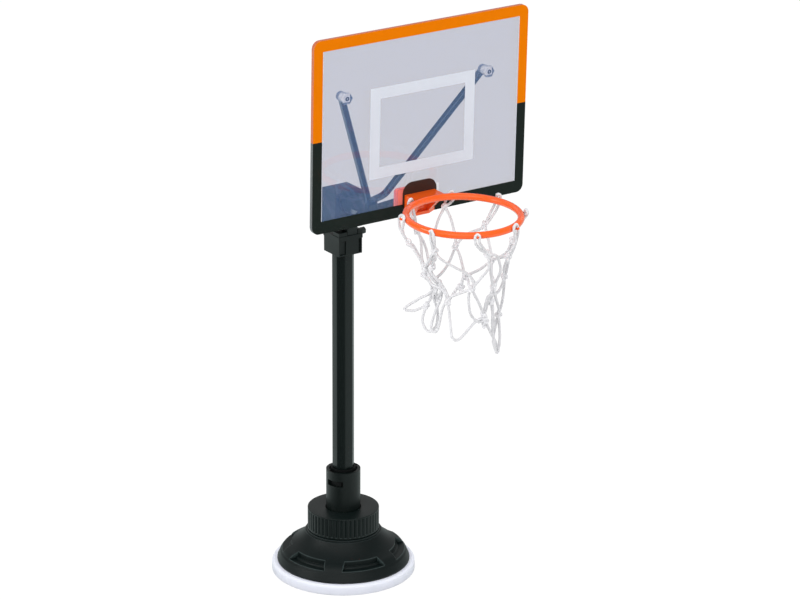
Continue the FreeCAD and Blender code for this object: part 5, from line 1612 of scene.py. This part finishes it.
@dataclass
class Studio:
    """A pale floor, soft lamps, a white surround and the camera at the photograph's angle."""

    turn: float = 34.5135
    rise: float = 19.9817
    roll: float = 0.2557
    distance: float = 2.34936
    focal_px: float = 3627.22
    frame_px: float = 800.0
    sensor: float = 36.0
    side_shift: float = 0.0368738
    centre_height: float = 0.188482
    aim: tuple[float, float, float] = (0, -0.05, 0.2)
    ground_tint: Colour = (0.88, 1.0, 0.98)
    floor_white: float = 1.08
    floor_share: float = 0.8
    surround: float = 0.72
    surround_seen: float = 0.3
    surround_mirrored: float = 0.15

    def camera(self) -> None:
        """The camera, aimed along the fitted direction."""
        a, e, roll = (math.radians(value) for value in (self.turn, self.rise, self.roll))
        back = Vector((-math.sin(a) * math.cos(e), -math.cos(a) * math.cos(e), math.sin(e)))
        right = Vector((math.cos(a), -math.sin(a), 0.0))
        up = back.cross(right)
        place = Vector((0, 0, self.centre_height)) + right * self.side_shift + back * self.distance
        across = right * math.cos(roll) + up * math.sin(roll)
        upright = up * math.cos(roll) - right * math.sin(roll)
        lens = bpy.data.cameras.new("PhotoCamera")
        lens.sensor_width = self.sensor
        lens.sensor_fit = "HORIZONTAL"
        lens.lens = self.focal_px * self.sensor / self.frame_px
        lens.clip_start, lens.clip_end = 0.01, 50.0
        made = linked("PhotoCamera", lens)
        columns = zip((across, upright, back, place), (0, 0, 0, 1))
        made.matrix_world = Matrix([(*column, end) for column, end in columns]).transposed()
        bpy.context.scene.camera = made

    def lit_ground(self, graph: Graph) -> bpy.types.NodeSocket:
        """How bright the ground is in reflections, by its bearing from the toy: bright behind and to the
        right, dark towards the camera.

        Args:
            graph: the floor's graph.

        Returns:
            A colour socket.
        """
        axes = graph.axes(graph.place())
        bearing = graph.calc("ARCTAN2", axes["Y"], axes["X"])
        ramp = graph.node("ValToRGB", {0: graph.calc("MULTIPLY_ADD", bearing, 0.5 / math.pi, 0.5)})
        ramp.color_ramp.interpolation = "EASE"
        stops = ((0.0, 0.3), (0.07, 0.09), (0.105, 0.08), (0.16, 0.36), (0.24, 0.36), (0.34, 0.52),
                 (0.5, 0.6), (0.75, 0.7), (0.86, 0.72), (1.0, 0.3))
        while len(ramp.color_ramp.elements) < len(stops):
            ramp.color_ramp.elements.new(0.5)
        for element, (at, level) in zip(ramp.color_ramp.elements, stops):
            element.position = at
            element.color = (*(level * part for part in self.ground_tint), 1)
        return ramp.outputs[0]

    def rays(self, graph: Graph) -> tuple[bpy.types.NodeSocket, bpy.types.NodeSocket]:
        """What a ray is for.

        Args:
            graph: the floor's or the world's graph.

        Returns:
            Whether it comes from the camera or through something clear, and whether it is a reflection.
        """
        rays = graph.node("LightPath").outputs
        seen = graph.calc("MAXIMUM", rays["Is Camera Ray"], rays["Is Transmission Ray"])
        return seen, rays["Is Glossy Ray"]

    def floor(self) -> None:
        """A large pale floor that keeps a soft shadow and shows white to the camera and in reflections."""
        profile = np.array([(radius, -0.05) for radius in (0.001, 200, 800, 3000, 9000)])
        piece = MAKE.grid("studio_floor", revolved(profile), outward=False)
        material = bpy.data.materials.new("StudioFloor")
        material.use_nodes = True
        graph = Graph(material.node_tree)
        graph.tree.nodes.clear()
        seen, glossy = self.rays(graph)
        diffuse = graph.node("BsdfDiffuse", {"Color": (0.8, 0.8, 0.8, 1)})
        white = graph.node("Emission", {"Strength": self.floor_white})
        mirrored = graph.node("Emission", {"Color": self.lit_ground(graph)})
        plain = graph.shader(graph.calc("MULTIPLY", seen, self.floor_share), diffuse, white)
        graph.node("OutputMaterial", {"Surface": graph.shader(glossy, plain, mirrored).outputs[0]})
        piece.data.materials.append(material)

    def card(self, graph: Graph, towards: Sequence[float], edge: float, level: float) -> bpy.types.NodeSocket:
        """A soft bright card in the world's reflections: level * clamp((d . towards - edge) / (1 - edge)).

        Args:
            graph: the world's graph.
            towards: the unit direction of the card's middle.
            edge: the cosine at which the card begins.
            level: the brightness at its middle.

        Returns:
            The card's brightness.
        """
        sky = graph.node("TexCoord").outputs["Generated"]
        dot = graph.node("VectorMath", {0: sky, 1: towards}, operation="DOT_PRODUCT").outputs["Value"]
        share = graph.calc("MULTIPLY_ADD", dot, 1 / (1 - edge), -edge / (1 - edge))
        share = graph.calc("MINIMUM", graph.calc("MAXIMUM", share, 0.0), 1.0)
        return graph.calc("MULTIPLY", share, level)

    def world(self) -> None:
        """A white surround that lights the toy softly and shows white behind it."""
        world = bpy.data.worlds.new("StudioWorld")
        bpy.context.scene.world = world
        world.use_nodes = True
        graph = Graph(world.node_tree)
        seen, glossy = self.rays(graph)
        cards = graph.calc("ADD", self.card(graph, (-0.48, -0.66, 0.58), 0.62, 0.55),
                           self.card(graph, (0.53, 0.77, 0.34), 0.5, 0.25))
        mirrored = graph.calc("MULTIPLY", graph.calc("ADD", cards, self.surround_mirrored), glossy)
        others = graph.calc("MULTIPLY", graph.calc("MULTIPLY_ADD", seen, self.surround_seen, self.surround),
                            graph.calc("SUBTRACT", 1.0, glossy))
        graph.fill(graph.tree.nodes["Background"], {
            "Color": (1, 1, 1, 1), "Strength": graph.calc("ADD", mirrored, others)})

    def lamp(self, name: str, place: Sequence[float], size: float, power: float, mirrored: bool) -> None:
        """One square soft lamp aimed at the toy's middle, hidden from the camera.

        Args:
            name: the lamp's name.
            place: where it stands, in metres.
            size: its width.
            power: its watts.
            mirrored: whether glossy surfaces show it.
        """
        light = bpy.data.lights.new(name, "AREA")
        light.shape = "SQUARE"
        light.size = size
        light.energy = power
        made = linked(name, light)
        made.location = place
        made.visible_camera = False
        made.visible_glossy = mirrored
        made.rotation_euler = (Vector(self.aim) - Vector(place)).to_track_quat("-Z", "Y").to_euler()

    def build(self) -> None:
        """Set the stage."""
        self.camera()
        self.floor()
        self.world()
        self.lamp("KeySoftbox", (-1.5, -0.9, 1.4), 0.9, 16.0, False)
        self.lamp("SideSoftbox", (-1.9, 0.5, 1.0), 0.9, 6.0, True)
        self.lamp("FillSoftbox", (1.4, -1.2, 0.8), 0.9, 9.0, False)
        self.lamp("TopSoftbox", (0.1, 0.4, 1.9), 1.0, 8.0, False)
        bpy.context.scene.view_settings.view_transform = "Standard"


def main() -> None:
    """Build the studio and the toy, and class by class."""
    logging.basicConfig(level=logging.INFO, format="%(name)s %(message)s")
    Studio().build()
    palette = {key: finish.build() for key, finish in FINISHES.items()}
    rim = Rim(palette)
    for part in (SuctionBase(palette), Stem(palette), Bracket(palette), Board(palette), rim,
                 Net(palette, rim=rim)):
        part.build()
        LOG.info("%s: %s", type(part).__name__, ", ".join(part.pieces))


if __name__ == "__main__":
    main()
